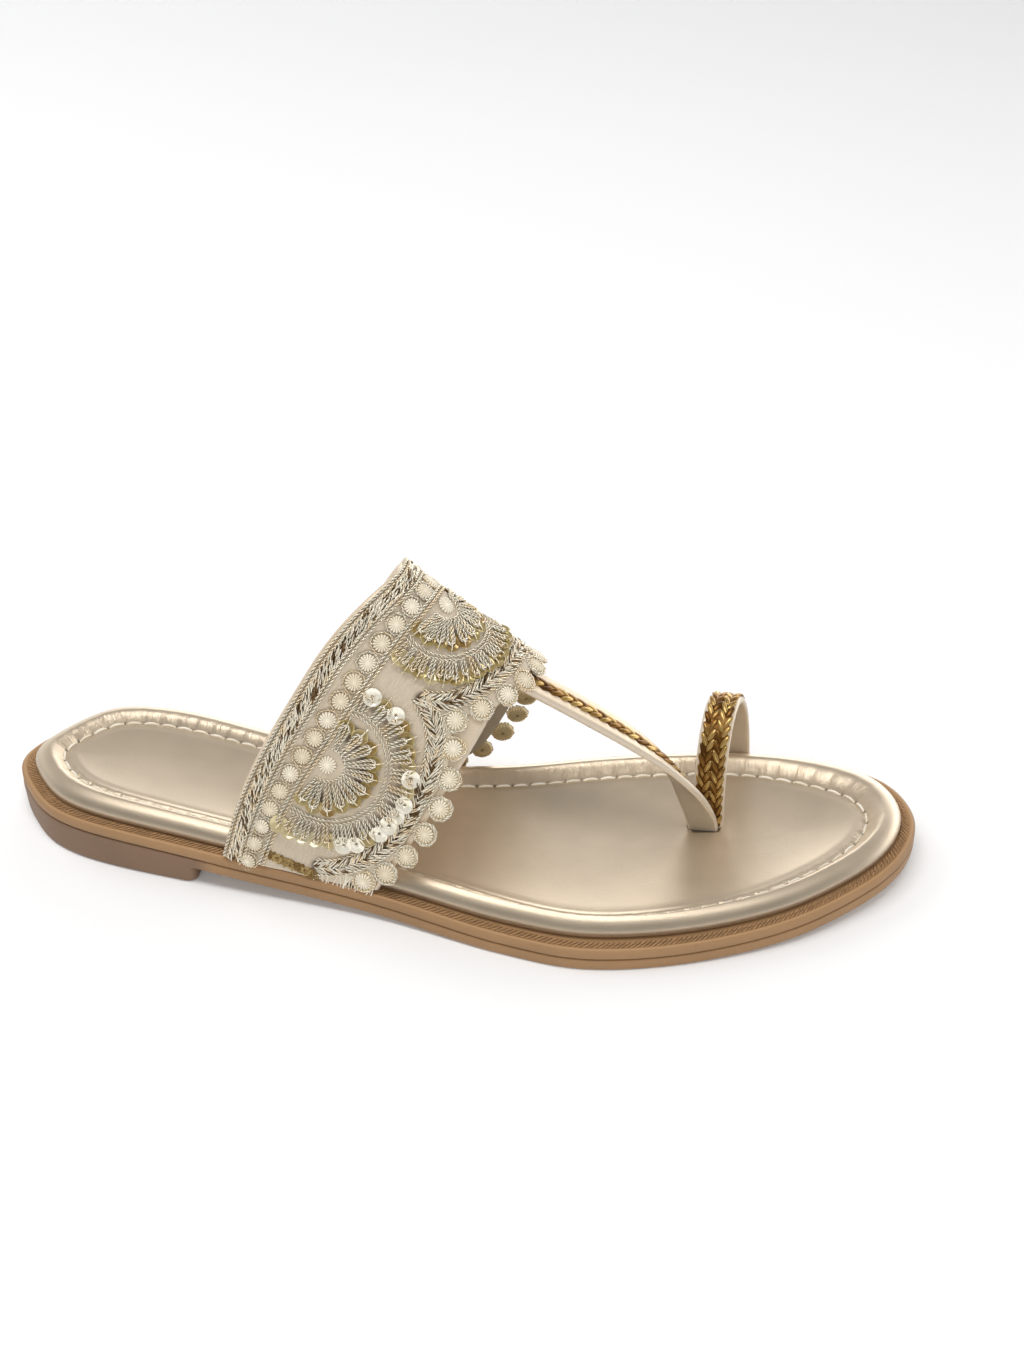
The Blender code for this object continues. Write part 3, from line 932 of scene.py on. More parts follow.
def cloth_look(name, tint):
    """Plain-woven silk and cotton with uneven threads, and painted shade where its tone is low."""
    look = Look(name)
    place = look.surface_place()
    across, along, _ = look.axes(place)
    slubs = look.noise(look.stretched(place, (0.25, 3.2, 1.0)), 1.0, 3.0, 0.6)
    warp = (across * (math.tau / WARP_PITCH)).math("SINE")
    weft = (along * (math.tau / WEFT_PITCH)).math("SINE")
    weave = warp * 0.5 + weft * 0.5
    fuzz = look.noise(look.object_place(), 900.0, 3.0, 0.7)
    tone = look.read("tone")
    # The last layer is painted shade, where the tone is low.
    body = look.layered(darker(tint, 0.88), (slubs.ramp(0.35, 0.7), darker(tint, 1.08)),
                        ((weave * 0.5 + 0.5) * 0.25, darker(tint, 0.75)),
                        (tone.ramp(0.48, 0.1), colour(78, 60, 38)))
    normal = look.bump(weave + slubs * 1.4 + fuzz * 0.8, 0.00007, 0.6)
    return look.finish(Base_Color=body, Roughness=fuzz * 0.2 + 0.62, Normal=normal,
                       Sheen_Weight=0.25, Sheen_Roughness=0.4)


def thread_look(name, tints, roughness, metallic, gap_shade, depth):
    """Metallic or cotton thread whose colour runs through three tints with its tone."""
    look = Look(name)
    low, middle, high = (colour(*tint) for tint in tints)
    place = look.object_place()
    fine = look.noise(place, 1900.0, 3.0, 0.7)
    patches = look.noise(place, 300.0, 2.0)
    tone = (look.read("tone") + (patches - 0.5) * 0.7).clamped()
    # The last layer is painted shade in the gaps between plies, strands and stitches.
    body = look.layered(low, (tone.ramp(0.1, 0.4), middle), (tone.ramp(0.45, 0.8), high),
                        (fine.ramp(0.5, 0.8) * 0.3, low),
                        (look.read("gap") * depth, colour(*gap_shade)))
    normal = look.bump(fine, 0.0001, 0.6)
    return look.finish(Base_Color=body, Roughness=fine * 0.2 + (roughness - 0.1),
                       Metallic=metallic, Normal=normal)


def sequin_look(name):
    """Cupped foil discs, from pearl white to olive and brown gold; the pearl white of the facing
    sequins is a painted reflection.
    """
    look = Look(name)
    place = look.object_place()
    film = look.noise(place, 260.0, 2.0)
    tone = look.read("tone")
    # The palest tint, on the facing sequins, is a painted reflection.
    body = look.layered(colour(158, 124, 66),
                        (tone.ramp(0.1, 0.35), colour(176, 156, 100)),
                        (tone.ramp(0.35, 0.6), colour(208, 192, 146)),
                        (tone.ramp(0.6, 0.85), colour(250, 244, 228)),
                        (film.ramp(0.45, 0.7) * 0.3, colour(230, 214, 172)))
    normal = look.bump(film, 0.0001, 0.25)
    return look.finish(Base_Color=body, Roughness=film * 0.1 + 0.16, Metallic=0.4,
                       Normal=normal, Coat_Weight=0.5, Coat_Roughness=0.08)


def settings():
    return bpy.context.scene.chappal


# Threads, from their darkest tint to their palest. Columns: tints, roughness, metallic,
# the tint of the painted shade in their gaps and how strong it is.
THREADS = {
    "zari": (((116, 90, 56), (255, 233, 196), (255, 246, 224)), 0.26, 0.4, (84, 56, 26), 0.96),
    "pearl_thread": (((212, 197, 168), (228, 216, 190), (240, 231, 210)), 0.7, 0.0,
                     (122, 90, 50), 0.95),
    "stitch_thread": (((214, 203, 180), (232, 223, 203), (244, 237, 222)), 0.6, 0.0,
                      (150, 130, 100), 0.85),
    "bronze": (((104, 66, 22), (158, 114, 54), (222, 184, 112)), 0.32, 0.8,
               (50, 30, 10), 0.85),
    "gilt": (((128, 98, 52), (184, 158, 104), (226, 208, 164)), 0.34, 0.55,
             (70, 50, 24), 0.85),
}


def slot_look(key):
    """The material for one finish, made once."""
    found = bpy.data.materials.get(key)
    if found:
        return found
    if key in THREADS:
        return thread_look(key, *THREADS[key])
    chosen = settings()
    leather, rubber, heel, cloth = (
        (*tint, 1.0) for tint in (chosen.leather_colour, chosen.rubber_colour,
                                  chosen.heel_colour, chosen.cloth_colour))
    grain = chosen.grain_size
    makers = {
        "footbed_leather": lambda: leather_look(key, leather, grain, 0.42, 0.82,
                                                wrinkles=0.06, coat=0.45),
        "strap_leather": lambda: leather_look(key, leather, grain * 1.1, 0.42, 0.35),
        "sole_rubber": lambda: rubber_look(key, rubber),
        "outsole_rubber": lambda: rubber_look(key, rubber, heel),
        "heel_rubber": lambda: rubber_look(key, heel),
        "band_cloth": lambda: cloth_look(key, cloth),
        "sequin_foil": lambda: sequin_look(key),
    }
    return makers[key]()


# ---------------------------------------------------------------- pieces and the frame


def keep(piece, slot, *nodes):
    """The piece rides with the sandal and may stand for CAD nodes."""
    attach(piece, BODY)
    if nodes:
        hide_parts(*nodes)
    return piece


# ---------------------------------------------------------------- sole

# The outsole's side, from its underside to its top. Columns: inset, height under the top.
OUTSOLE_SIDE = (
    (3.0, -3.2), (1.0, -3.2), (0.4, -3.08), (0.1, -2.75), (0.0, -2.2), (0.0, -1.3),
    (0.02, -0.6), (0.08, -0.22), (0.4, 0.0), (1.4, 0.05), (5.0, 0.05),
)
# The welt's side and ledge. Columns: inset, height over its underside.
WELT_SIDE = (
    (5.0, -0.05), (1.4, -0.05), (0.6, -0.02), (0.22, 0.12), (0.04, 0.4), (0.0, 0.9), (0.0, 1.6),
    (0.03, 2.1), (0.3, 2.55), (0.75, 2.85), (1.1, 2.92), (1.4, 2.8), (1.6, 2.5),
    (2.4, 2.4), (3.1, 2.45), (4.0, 2.5), (5.5, 2.5), (8.0, 2.6),
)
# Stretches of these sides that are pale, or dark with painted shade where the layers meet, by
# number of the row.
WELT_PALE = ((9, 16),)
WELT_PAINTED_SHADE = ((0, 3), (17, 18))
OUTSOLE_PAINTED_SHADE = ((9, 11),)
# Rows of ribs. Columns: inset, height over the welt's underside, share of a pitch.
KNURL_ROWS = ((2.15, 2.6, 0.0), (3.2, 2.72, 0.5))
# Rings that close a layer, as shares of the way from its middle line to its edge.
INNER_SHARES = (0.75, 0.5, 0.28, 0.1)
# The heel's side. Columns: inset, share of the height to just under the welt.
HEEL_LEVELS = (
    (1.1, 0.0), (0.5, 0.015), (0.18, 0.06), (0.06, 0.15), (0.0, 0.35), (-0.02, 0.6),
    (-0.03, 0.9), (0.05, 0.97), (0.4, 1.0),
)
HEEL_TAPER = 0.5
HEEL_TAPER_CENTRE = (-84.0, 6.0)
HEEL_CORNER = 3.0
HEEL_AROUND = 320
HEEL_FRONT_POINTS = 24


def tones_between(count, painted_shade=(), pale=()):
    tones = np.full(count, 0.5)
    for first, last in painted_shade:
        tones[first:last] = 0.0
    for first, last in pale:
        tones[first:last] = 1.0
    return tones


def sole_layer(name, profile, height, look, painted_shade, pale):
    """A layer of the sole: its profile swept round the outline and closed in the middle."""
    first, last = [[(distance, rise, share) for share in INNER_SHARES]
                   for distance, rise in (profile[0], profile[-1])]
    rings = []
    for distance, rise, share in [*reversed(first), *((*row, 1) for row in profile), *last]:
        plan = inset(distance)
        if share < 1:
            plan = toward_spine(plan, share)
        rings.append(with_height(plan, height(plan[:, 0]) + rise))
    inner = np.full(len(INNER_SHARES), 0.5)
    tones = np.concatenate([inner, tones_between(len(profile), painted_shade, pale), inner])
    shape = Shape()
    shape.add(np.vstack(rings), layer_faces(len(rings), AROUND), tone=np.repeat(tones, AROUND))
    return shape.finish(name, look)


def heel_loop(distance):
    """The heel's plan, with rounded corners at its straight front."""
    plan = inset(distance)
    heel = plan[:, 0].argmin()
    plan = np.roll(plan, -heel, axis=0)
    front = HEEL_BREAST_X - distance
    stop = front - HEEL_CORNER
    lateral = plan[:AROUND // 2][plan[:AROUND // 2, 0] < stop]
    medial = plan[AROUND // 2:][plan[AROUND // 2:, 0] < stop]
    loop = [lateral]
    for side, order in (("lateral", 1), ("medial", -1)):
        y = float(edge_y(front, side, distance))
        start = (lateral if side == "lateral" else medial[:1])[-1]
        inner = y + order * HEEL_CORNER
        arc = []
        for t in np.linspace(0.12, 0.88, 7):
            corner = np.array([front, y])
            end = np.array([front, inner])
            arc.append((1 - t) ** 2 * start + 2 * t * (1 - t) * corner + t ** 2 * end)
        loop.append(np.array(arc if order > 0 else arc[::-1]))
        if order > 0:
            across = float(edge_y(front, "medial", distance)) - HEEL_CORNER
            ys = np.linspace(inner, across, HEEL_FRONT_POINTS)
            loop.append(np.column_stack([np.full(HEEL_FRONT_POINTS, front), ys]))
    loop.append(medial)
    return evenly_spaced(np.vstack(loop), HEEL_AROUND, closed=True)


def make_heel():
    """The heel block, drawn in a little towards the floor at its rear."""
    rings = [with_height(heel_loop(9.0), 0.25)]
    for distance, share in HEEL_LEVELS:
        plan = heel_loop(distance)
        rearward = smooth_step((-80 - plan[:, 0]) / 45)
        drawn = HEEL_TAPER * rearward * (1 - share)
        plan = plan + unit(HEEL_TAPER_CENTRE - plan) * drawn[:, None]
        rings.append(with_height(plan, (outsole_top(plan[:, 0]) - 0.12) * share))
    shape = Shape()
    shape.add(np.vstack(rings), lathe_faces(len(rings), HEEL_AROUND))
    return shape.finish("heel", slot_look("heel_rubber"), sharp=50)


def knurl_places(pitch, distance, height, offset):
    """Places of one row of ribs, moved on by a share of their pitch."""
    plan = inset(distance)
    count = int(round(lap(plan)[-1] / pitch))
    path = evenly_spaced(with_height(plan, welt_bottom(plan[:, 0]) + height), count, closed=True)
    path = path + (np.roll(path, -1, axis=0) - path) * offset
    ahead = np.roll(path, -1, axis=0) - np.roll(path, 1, axis=0)
    return [turned_matrix(point, direction, (0, 0, 1), 1.0)
            for point, direction in zip(path, ahead)]


def make_knurl():
    """Two rows of slanted ribs on the welt's ledge."""
    rng = random.Random(11)

    def spot(ring, side, cosine, sine):
        share, radius = ring
        return (between(-0.88, 0.88, share), between(-0.62, 0.62, share) + radius * cosine * 0.9,
                radius * sine * 0.8, 0.0)

    rings = ((0.0, 0.12), (0.22, 0.34), (0.5, 0.40), (0.78, 0.34), (1.0, 0.12))
    rib = round_shape("knurl_rib", rings, 6, spot)
    places = []
    for distance, height, offset in KNURL_ROWS:
        places += knurl_places(settings().knurl_pitch * 1000, distance, height, offset)
    places = [(point, turn, rng.uniform(0.85, 1.1)) for point, turn, _ in places]
    tones = [rng.uniform(0.5, 1.0) for _ in places]
    return scatter("welt_knurl", places, rib, slot_look("sole_rubber"), tones)


# ---------------------------------------------------------------- footbed

# The footbed's section. Columns: inset, height over its base.
FOOTBED_SIDE = (
    (6.5, -0.55), (5.2, -0.55), (4.3, -0.25), (3.85, 0.45), (3.75, 1.4), (4.0, 2.3),
    (4.6, 3.2), (5.6, 4.05), (6.8, 4.62), (8.1, 4.85), (9.4, 4.72), (10.5, 4.4), (11.4, 3.95),
    (12.1, 3.4), (12.6, 2.85), (12.95, 2.42), (13.2, 2.3), (13.55, 2.42), (14.1, 2.6),
    (15.0, 2.72), (16.5, 2.74),
)
FOOTBED_STEPS = 3
FOOTBED_SHARES = (0.93, 0.86, 0.78, 0.7, 0.62, 0.54, 0.46, 0.38, 0.3, 0.22, 0.14, 0.06)
CHANNEL = 13.1
# How much further in the stitch channel lies than its section says: a constant, and then
# places. Columns: x, y, spread, distance.
CHANNEL_SHIFT = -1.0
CHANNEL_EASING = ((-110, 8, 45, -1.1), (102, 34, 22, 1.9), (34, -42, 56, -1.9),
                  (-58, -30, 34, -1.3))
# Where the roll's outer foot stands further in, and where the bed swells beside the
# channel. Columns: x, y, spread, distance or share.
ROLL_EASING = ((44, -44, 46, 1.0),)
BED_SWELL = ((34, -42, 50, 1.0), (-62, -30, 40, 1.0))
# The bed and the channel lie lower in the forefoot.
SINK = 1.0
SINK_START, SINK_END = -45, 15
# The bed's dish: its depth as a share of half the bed's width, up to a width, and how
# flat its middle is.
DISH_SHARE = 0.052
DISH_WIDTH = 30.0
DISH_POWER = 2.2
# Heights and depths of the bed's swell, its stitch holes and the rays that lead to them.
SWELL_HEIGHT = 0.34
HOLE_DEPTH = 0.35
RAY_DEPTH = 0.26
# Where the rim is gathered into puckers. Columns: place round the sole, spread, depth.
PUCKERS = ((300, 34, 1.0), (345, 40, 0.9), (505, 46, 0.75), (565, 30, 0.8), (20, 26, 0.35))


def bed_inset(distance):
    """Distances from the outline for one row of the footbed's section."""
    inner = bells(SOLE, CHANNEL_EASING, CHANNEL_SHIFT) * smooth_step((distance - 6.2) / 6.0)
    outer = bells(SOLE, ROLL_EASING) * (1 - smooth_step((distance - 4.0) / 5.0))
    return distance + inner + outer


def sunk(distance, x):
    """How far the footbed lies under its section at a distance from the outline."""
    forward = smooth_step((x - SINK_START) / (SINK_END - SINK_START))
    return SINK * forward * smooth_step((distance - 8.0) / 4.0)


def stitch_phase():
    """How many stitches there are, and at each point of the outline how many lie behind."""
    distance = lap(inset(bed_inset(CHANNEL)))
    count = int(round(distance[-1] / (settings().stitch_pitch * 1000)))
    return count, distance[:-1] / distance[-1] * count


def stitch_holes(reach):
    """1 at each stitch hole, falling to nothing over a reach in millimetres."""
    count, phase = stitch_phase()
    return hump((phase - np.round(phase)) * (PERIMETER / count), 0.0, reach)


def pucker_depth():
    """How strongly the rim is gathered, round the outline."""
    total = np.full(AROUND, 0.28)
    for centre, spread, depth in PUCKERS:
        gap = np.abs(ROUND_MM - centre)
        total += depth * hump(np.minimum(gap, PERIMETER - gap), 0.0, spread)
    return np.minimum(total, 1.15)


def footbed_height(distance, rise, x):
    """The footbed's height round the outline, for one row of its section."""
    swell = np.minimum(bells(SOLE, BED_SWELL), 1.0) * SWELL_HEIGHT * hump(distance, 14.1, 0.95)
    height = footbed_base(x) + rise + swell - sunk(distance, x)
    drawn = stitch_holes(0.75) * hump(distance, 12.7, 1.1) * HOLE_DEPTH
    pull = np.abs(np.cos(math.pi * stitch_phase()[1])) ** 4
    uneven = 0.75 + 0.25 * np.sin(ROUND_MM * 0.31) + 0.2 * np.sin(ROUND_MM * 0.83 + 1)
    rays = hump(distance, 11.2, 2.2) * RAY_DEPTH * pull * pucker_depth() * uneven
    return height - drawn - rays


def slot_dip(plan):
    """How deep the leather sinks round the slot."""
    dx = np.maximum(np.abs(plan[:, 0] - RING_NEAR_FOOT[0]) - SLOT_LENGTH / 2, 0)
    dy = np.maximum(np.abs(plan[:, 1] - SLOT_CENTRE_Y) - SLOT_WIDTH / 2, 0)
    return 0.3 * np.exp(-np.hypot(dx, dy) / 2.2)


def make_footbed():
    profile = evenly_spaced(catmull_rom(FOOTBED_SIDE, 6),
                            (len(FOOTBED_SIDE) - 1) * FOOTBED_STEPS + 1)
    rings, tones, places = [], [], []
    for share in reversed(INNER_SHARES):
        plan = toward_spine(inset(profile[0][0]), share)
        rings.append(with_height(plan, footbed_base(plan[:, 0])))
        tones.append(np.full(AROUND, 0.5))
        places.append(0.0)
    hole = stitch_holes(0.5)
    for distance, rise in profile:
        plan = inset(bed_inset(distance))
        rings.append(with_height(plan, footbed_height(distance, rise, plan[:, 0])))
        # Painted shade in the stitch holes and along the channel, and at the roll's foot by the
        # welt's ledge.
        painted_shade = 0.32 * hole * hump(distance, 12.85, 0.5) + 0.1 * hump(distance, 13.1, 0.6)
        painted_shade = painted_shade + 0.22 * hump(distance, 4.1, 1.5)
        tones.append(0.5 - painted_shade)
        places.append(distance)
    edge = bed_inset(profile[-1][0])
    last = inset(edge)
    middle = toward_spine(last, 0.0)[:, 0]
    half = (edge_y(middle, "medial", edge) - edge_y(middle, "lateral", edge)) / 2
    for share in FOOTBED_SHARES:
        plan = toward_spine(last, share)
        dish = DISH_SHARE * np.minimum(half, DISH_WIDTH) * (1 - share ** DISH_POWER)
        waves = 0.12 * np.sin(plan[:, 0] * 0.11 + 1.3) * np.sin(plan[:, 1] * 0.13)
        height = footbed_base(plan[:, 0]) + profile[-1][1] - dish + waves * (1 - share)
        height -= sunk(profile[-1][0], plan[:, 0])
        rings.append(with_height(plan, height - slot_dip(plan)))
        tones.append(np.full(AROUND, 0.5))
        places.append(30.0)
    shape = Shape()
    place = np.stack([np.tile(ROUND_MM, len(rings)), np.repeat(places, AROUND)], 1)
    shape.add(np.vstack(rings), layer_faces(len(rings), AROUND), tone=np.concatenate(tones),
              place=place)
    return shape.finish("footbed_cover", slot_look("footbed_leather"))


def cut_slot(piece):
    """Cut the slot that the strap and the ring pass through, with painted shade on its walls."""
    angle = np.radians(np.arange(0, 360, 10))
    sides = np.stack([np.cos(angle), np.sin(angle)], 1)
    plan = np.array(SLOT_CUT[:2]) + SLOT_CUT[2:] * np.copysign(np.abs(sides) ** 0.35, sides)
    shape = Shape()
    # The cutter's lowest tone passes to the cut walls: painted shade inside the slot.
    shape.add(np.vstack([with_height(plan, height) for height in (SLOT_FLOOR, 30.0)]),
              lathe_faces(2, len(plan)), tone=0.0)
    cutter = shape.finish("slot_cutter", slot_look("footbed_leather"))
    modifier = piece.modifiers.new("slot", "BOOLEAN")
    modifier.object = cutter
    modifier.operation = "DIFFERENCE"
    modifier.solver = "EXACT"
    applied(piece)
    bpy.data.objects.remove(cutter, do_unlink=True)


def make_stitches():
    """One stitch between each two holes of the channel."""
    plan = inset(bed_inset(CHANNEL))
    count, _ = stitch_phase()
    height = footbed_base(plan[:, 0]) + 2.2 - sunk(CHANNEL, plan[:, 0])
    path = evenly_spaced(with_height(plan, height), count * 2, closed=True)
    rng = random.Random(5)

    def spot(ring, side, cosine, sine):
        x, z, radius = ring
        return x, radius * cosine, z + radius * sine, 0.0

    rings = ((-2.35, -0.7, 0.18), (-1.95, -0.1, 0.28), (-1.1, 0.26, 0.34), (0.0, 0.36, 0.36),
             (1.1, 0.26, 0.34), (1.95, -0.1, 0.28), (2.35, -0.7, 0.18))
    stitch = round_shape("stitch", rings, 8, spot)
    places, tones = [], []
    for index in range(count):
        point = path[index * 2 + 1]
        ahead = path[(index * 2 + 2) % len(path)] - path[index * 2]
        places.append(turned_matrix(point, ahead, (0, 0, 1), rng.uniform(0.94, 1.04)))
        tones.append(rng.uniform(0.3, 0.8))
    return scatter("footbed_stitches", places, stitch, slot_look("stitch_thread"), tones)


# ---------------------------------------------------------------- straps

# The band's leather, once round its section. Columns: millimetres from the rear or the
# front edge, which one, lift, tone.
BAND_SECTION_REAR = ((0.9, -1.8), (0.25, -1.6), (-0.05, -0.9), (0.25, -0.2), (0.9, 0.0))
BAND_SECTION_FRONT = ((-1.6, 0.0), (-0.9, 0.12), (-0.2, 0.0), (0.15, -0.5), (0.2, -1.1),
                      (0.0, -1.75), (-0.7, -2.1), (-1.6, -1.8))
BAND_AROUND = 150
# Where the leather's front edge lies along the band, from its lateral foot to its medial.
BAND_RIM = ((0.0, 1.0), (0.05, 1.015), (0.1, 1.03), (0.2, 1.035), (0.3, 1.03), (0.38, 1.005),
            (0.5, 1.0), (0.62, 0.995), (0.72, 0.965), (0.82, 0.93), (1.0, 0.925))


def make_band():
    """The band's leather, hollow under the arch, with rolled edges."""
    # Columns: share of the way to the front edge, distance on, lift, tone.
    section = [(0.0, distance, lift, 0.5) for distance, lift in BAND_SECTION_REAR]
    section += [(share, 0.0, 0.0, 0.5) for share in np.linspace(0.06, 0.94, 22)]
    # The rolled front edge takes the pale tone: a dyed edge with a painted highlight along it.
    section += [(1.0, distance, lift, 1.0 if -0.6 < distance and lift > -1.9 else 0.5)
                for distance, lift in BAND_SECTION_FRONT]
    section += [(share, 0.0, -1.8, 0.8) for share in np.linspace(0.94, 0.06, 16)]
    around = np.linspace(0.0, 1.0, BAND_AROUND)
    rim = read_line(BAND_RIM, around)
    rows = np.array([on_band(around, share * rim + distance / BAND_LENGTH, lift)
                     for share, distance, lift, _ in section])
    shape = Shape()
    tones = np.repeat([tone for _, _, _, tone in section], BAND_AROUND)
    shape.add(rows, strip_faces(len(section), BAND_AROUND), tone=tones)
    return shape.finish("band_leather", slot_look("strap_leather"), sharp=60)


def strap_line():
    """The thong strap's middle line, and its directions across, at each point."""
    rear, front = np.array(BAND_CREST_REAR, float), np.array(BAND_CREST_FRONT, float)
    down = unit(np.cross(unit(front - rear), (0, 1, 0)))
    down = down * (-1 if down[2] > 0 else 1)
    start = [(*(between(rear, front, share) + down * STRAP_UNDER_BAND), 0.0)
             for share in STRAP_START_SHARES]
    line = catmull_rom([*start, *STRAP_PATH], STRAP_STEPS)
    angle = np.radians(line[:, 3])
    widths = np.stack([-np.sin(angle), np.cos(angle), np.zeros(len(line))], 1)
    line = line[:, :3]
    line[-1, 2] = STRAP_END_Z
    return line, widths


def ring_line():
    """The toe ring's middle line, from the slot over to the medial side."""
    near = np.array(RING_NEAR_FOOT, float)
    far_y = float(edge_y(RING_FAR_X, "medial", BAND_FOOT_INSET + RING_THICKNESS / 2))
    far = np.array((RING_FAR_X, far_y, welt_top(RING_FAR_X) + RING_FAR_CLEARANCE))
    centre = (near + far) / 2
    angle = math.pi * np.linspace(0, 1, RING_STEPS + 1)[:, None]
    path = (centre - np.cos(angle) * (far - near) / 2
            + np.sin(angle) * (np.array(RING_CREST, float) - centre))
    low = near[2] - STRAP_END_Z
    path = np.vstack([near - (0, 0, low), near - (0, 0, low / 2), path])
    return path, np.tile((-1.0, 0.0, 0.0), (len(path), 1))


def make_strap(name, path, widths, width, thickness, look="strap_leather", lift=0.0,
               under=0.23):
    """A flat strap with rounded, pale edges, a soft crown and an underside darkened with painted
    shade.
    """
    _, across, out = strip_directions(path, widths)
    half, deep = np.broadcast_to(width, len(path)) / 2, thickness / 2
    # Columns: side, drawn in by, height, tone.
    edge = ((0.25, 0.82, 0.9), (0.0, 0.35, 1.0), (0.0, -0.35, 1.0), (0.25, -0.82, 0.9))
    section = [(share, 0.7, 1.0 + 0.05 * (1 - share ** 2), 0.5)
               for share in np.linspace(-1, 1, 15)]
    section += [(1, drawn, height, tone) for drawn, height, tone in edge]
    # The underside takes the tone under: painted shade.
    section += [(share, 0.7, -1.0, under) for share in np.linspace(1, -1, 9)]
    section += [(-1, drawn, height, tone) for drawn, height, tone in reversed(edge)]
    # Any other look takes the lowest tone throughout: the plait's ground, dark as painted shade
    # between the leaves.
    if look != "strap_leather":
        section = [(side, drawn, height, 0.0) for side, drawn, height, _ in section]
    rows = [path + across * (side * (half - drawn))[:, None] + out * (height * deep + lift)
            for side, drawn, height, _ in section]
    shape = Shape()
    shape.add(np.vstack(rows), strip_faces(len(section), len(path)),
              tone=np.repeat([tone for _, _, _, tone in section], len(path)))
    return shape.finish(name, slot_look(look), sharp=60)


def leaf_shape(name, length, width, height):
    """One visible stretch of a plait's strand: a flat leaf of three threads, with painted shade in
    the grooves between them and at its ends.
    """
    def spot(ring, side, cosine, sine):
        share, size = ring
        groove = side % 2 == 0
        reach = size * (0.84 if groove else 1.0)
        return (share * length / 2, reach * width / 2 * cosine,
                reach * height / 2 * sine - 0.3 * height * share ** 2,
                (0.5 if groove else 0.0) + 0.45 * share ** 4)

    rings = ((-1.0, 0.25), (-0.8, 0.66), (-0.45, 0.93), (0.0, 1.0), (0.45, 0.93),
             (0.8, 0.66), (1.0, 0.25))
    return round_shape(name, rings, 12, spot)


def leaf_rows(path, widths, lift, columns, pitch, rng):
    """Leaves along a strap. Columns: distance from its middle, lean, share of a pitch."""
    along, across, out = strip_directions(path, widths)
    distance = travelled(path)
    places, tones = [], []
    for offset, lean, shift in columns:
        wanted = np.arange(pitch * (0.5 + shift), distance[-1], pitch)
        read = [np.stack([np.interp(wanted, distance, column) for column in table.T], 1)
                for table in (path, along, across, out)]
        for spot, ahead, side, up in zip(*read):
            angle = math.radians(lean + rng.uniform(-3, 3))
            forward = ahead * math.cos(angle) + side * math.sin(angle)
            places.append(turned_matrix(spot + side * offset + up * lift, forward,
                                        up - forward * 0.16, rng.uniform(0.96, 1.05)))
            tones.append(rng.uniform(0.15, 1.0))
    return places, tones


# Columns of leaves: distance from the strap's middle, lean in degrees, share of a pitch.
THONG_LEAVES = ((-0.98, 27, 0.0), (0.98, -27, 0.5))
RING_LEAVES = ((-2.62, -25, 0.0), (-1.05, 25, 0.5), (1.05, -25, 0.5), (2.62, 25, 0.0))


# The thong's plait starts this far along the strap, where the band no longer covers it.
THONG_PLAIT_START = 13.0
GROUND_THICKNESS = 0.5


def plait(names, path, widths, leaves, leaf_size, pitch, lift, ground_width, ground_lift, rng):
    """Leaves in columns on a ground of the darkest bronze that follows a strap, which darkens the
    gaps between the leaves as painted shade.
    """
    places, tones = leaf_rows(path, widths, lift, leaves, pitch, rng)
    leaf = leaf_shape("leaf", *leaf_size)
    plaited = scatter(names[0], places, leaf, slot_look("bronze"), tones)
    ground = make_strap(names[1], path, widths, ground_width, GROUND_THICKNESS, "bronze",
                        ground_lift)
    return plaited, ground


def make_plaits():
    """The plaits on the thong strap and the ring, on a dark ground that paints shade between the
    leaves.
    """
    pitch = settings().plait_period * 1000 / 3
    rng = random.Random(17)
    path, widths = strap_line()
    part = slice(np.searchsorted(travelled(path), THONG_PLAIT_START), -2)
    thong = plait(("thong_plait", "thong_plait_ground"), path[part], widths[part],
                  THONG_LEAVES, (4.7, 1.9, 0.85), pitch, 1.3, 3.3, 1.15, rng)
    path, widths = ring_line()
    part = slice(1, -3)
    ring = plait(("ring_plaits", "ring_plait_ground"), path[part], widths[part],
                 RING_LEAVES, (4.7, 1.5, 0.95), pitch * 0.92, 1.28, 6.6, 1.05, rng)
    return thong, ring


# ---------------------------------------------------------------- embroidery

# Heights of the cloth's faces over the leather, and where its rear and front edges lie.
# The lines below have the columns: place around the band, place along it.
CLOTH_TOP = 0.95
CLOTH_UNDER = 0.1
REAR_CLOTH = 0.016
# How far past the band's feet the cloth and its threads may reach, as a share round it.
FOOT_REACH = 0.002
CLOTH_EDGE = mirrored((
    (0.0, 0.80), (0.02, 0.94), (0.05, 0.985), (0.10, 1.0), (0.16, 1.0), (0.21, 0.985),
    (0.25, 0.94), (0.28, 0.885), (0.30, 0.865), (0.32, 0.895), (0.345, 0.97), (0.38, 1.02),
    (0.43, 1.045), (0.5, 1.05),
))
REAR_CHAIN = mirrored(((0.0, 0.034), (0.25, 0.032), (0.5, 0.030)))
REAR_STRIP = mirrored(((0.0, 0.083), (0.25, 0.082), (0.5, 0.080)))
SECOND_CHAIN = mirrored(((0.0, 0.132), (0.25, 0.134), (0.5, 0.130)))
PEARL_ROW = mirrored(((0.0, 0.175), (0.08, 0.205), (0.18, 0.24), (0.29, 0.255),
                      (0.4, 0.228), (0.5, 0.208)))
THIRD_CHAIN = mirrored(((0.0, 0.262), (0.08, 0.282), (0.18, 0.31), (0.29, 0.322),
                        (0.4, 0.298), (0.5, 0.282)))
SCALLOP_SIDE = (
    (0.013, 0.60), (0.018, 0.70), (0.028, 0.78), (0.045, 0.85), (0.066, 0.905),
    (0.092, 0.935), (0.12, 0.94), (0.15, 0.935), (0.18, 0.925), (0.205, 0.905),
    (0.228, 0.875), (0.25, 0.84), (0.27, 0.785), (0.287, 0.715), (0.30, 0.635),
)
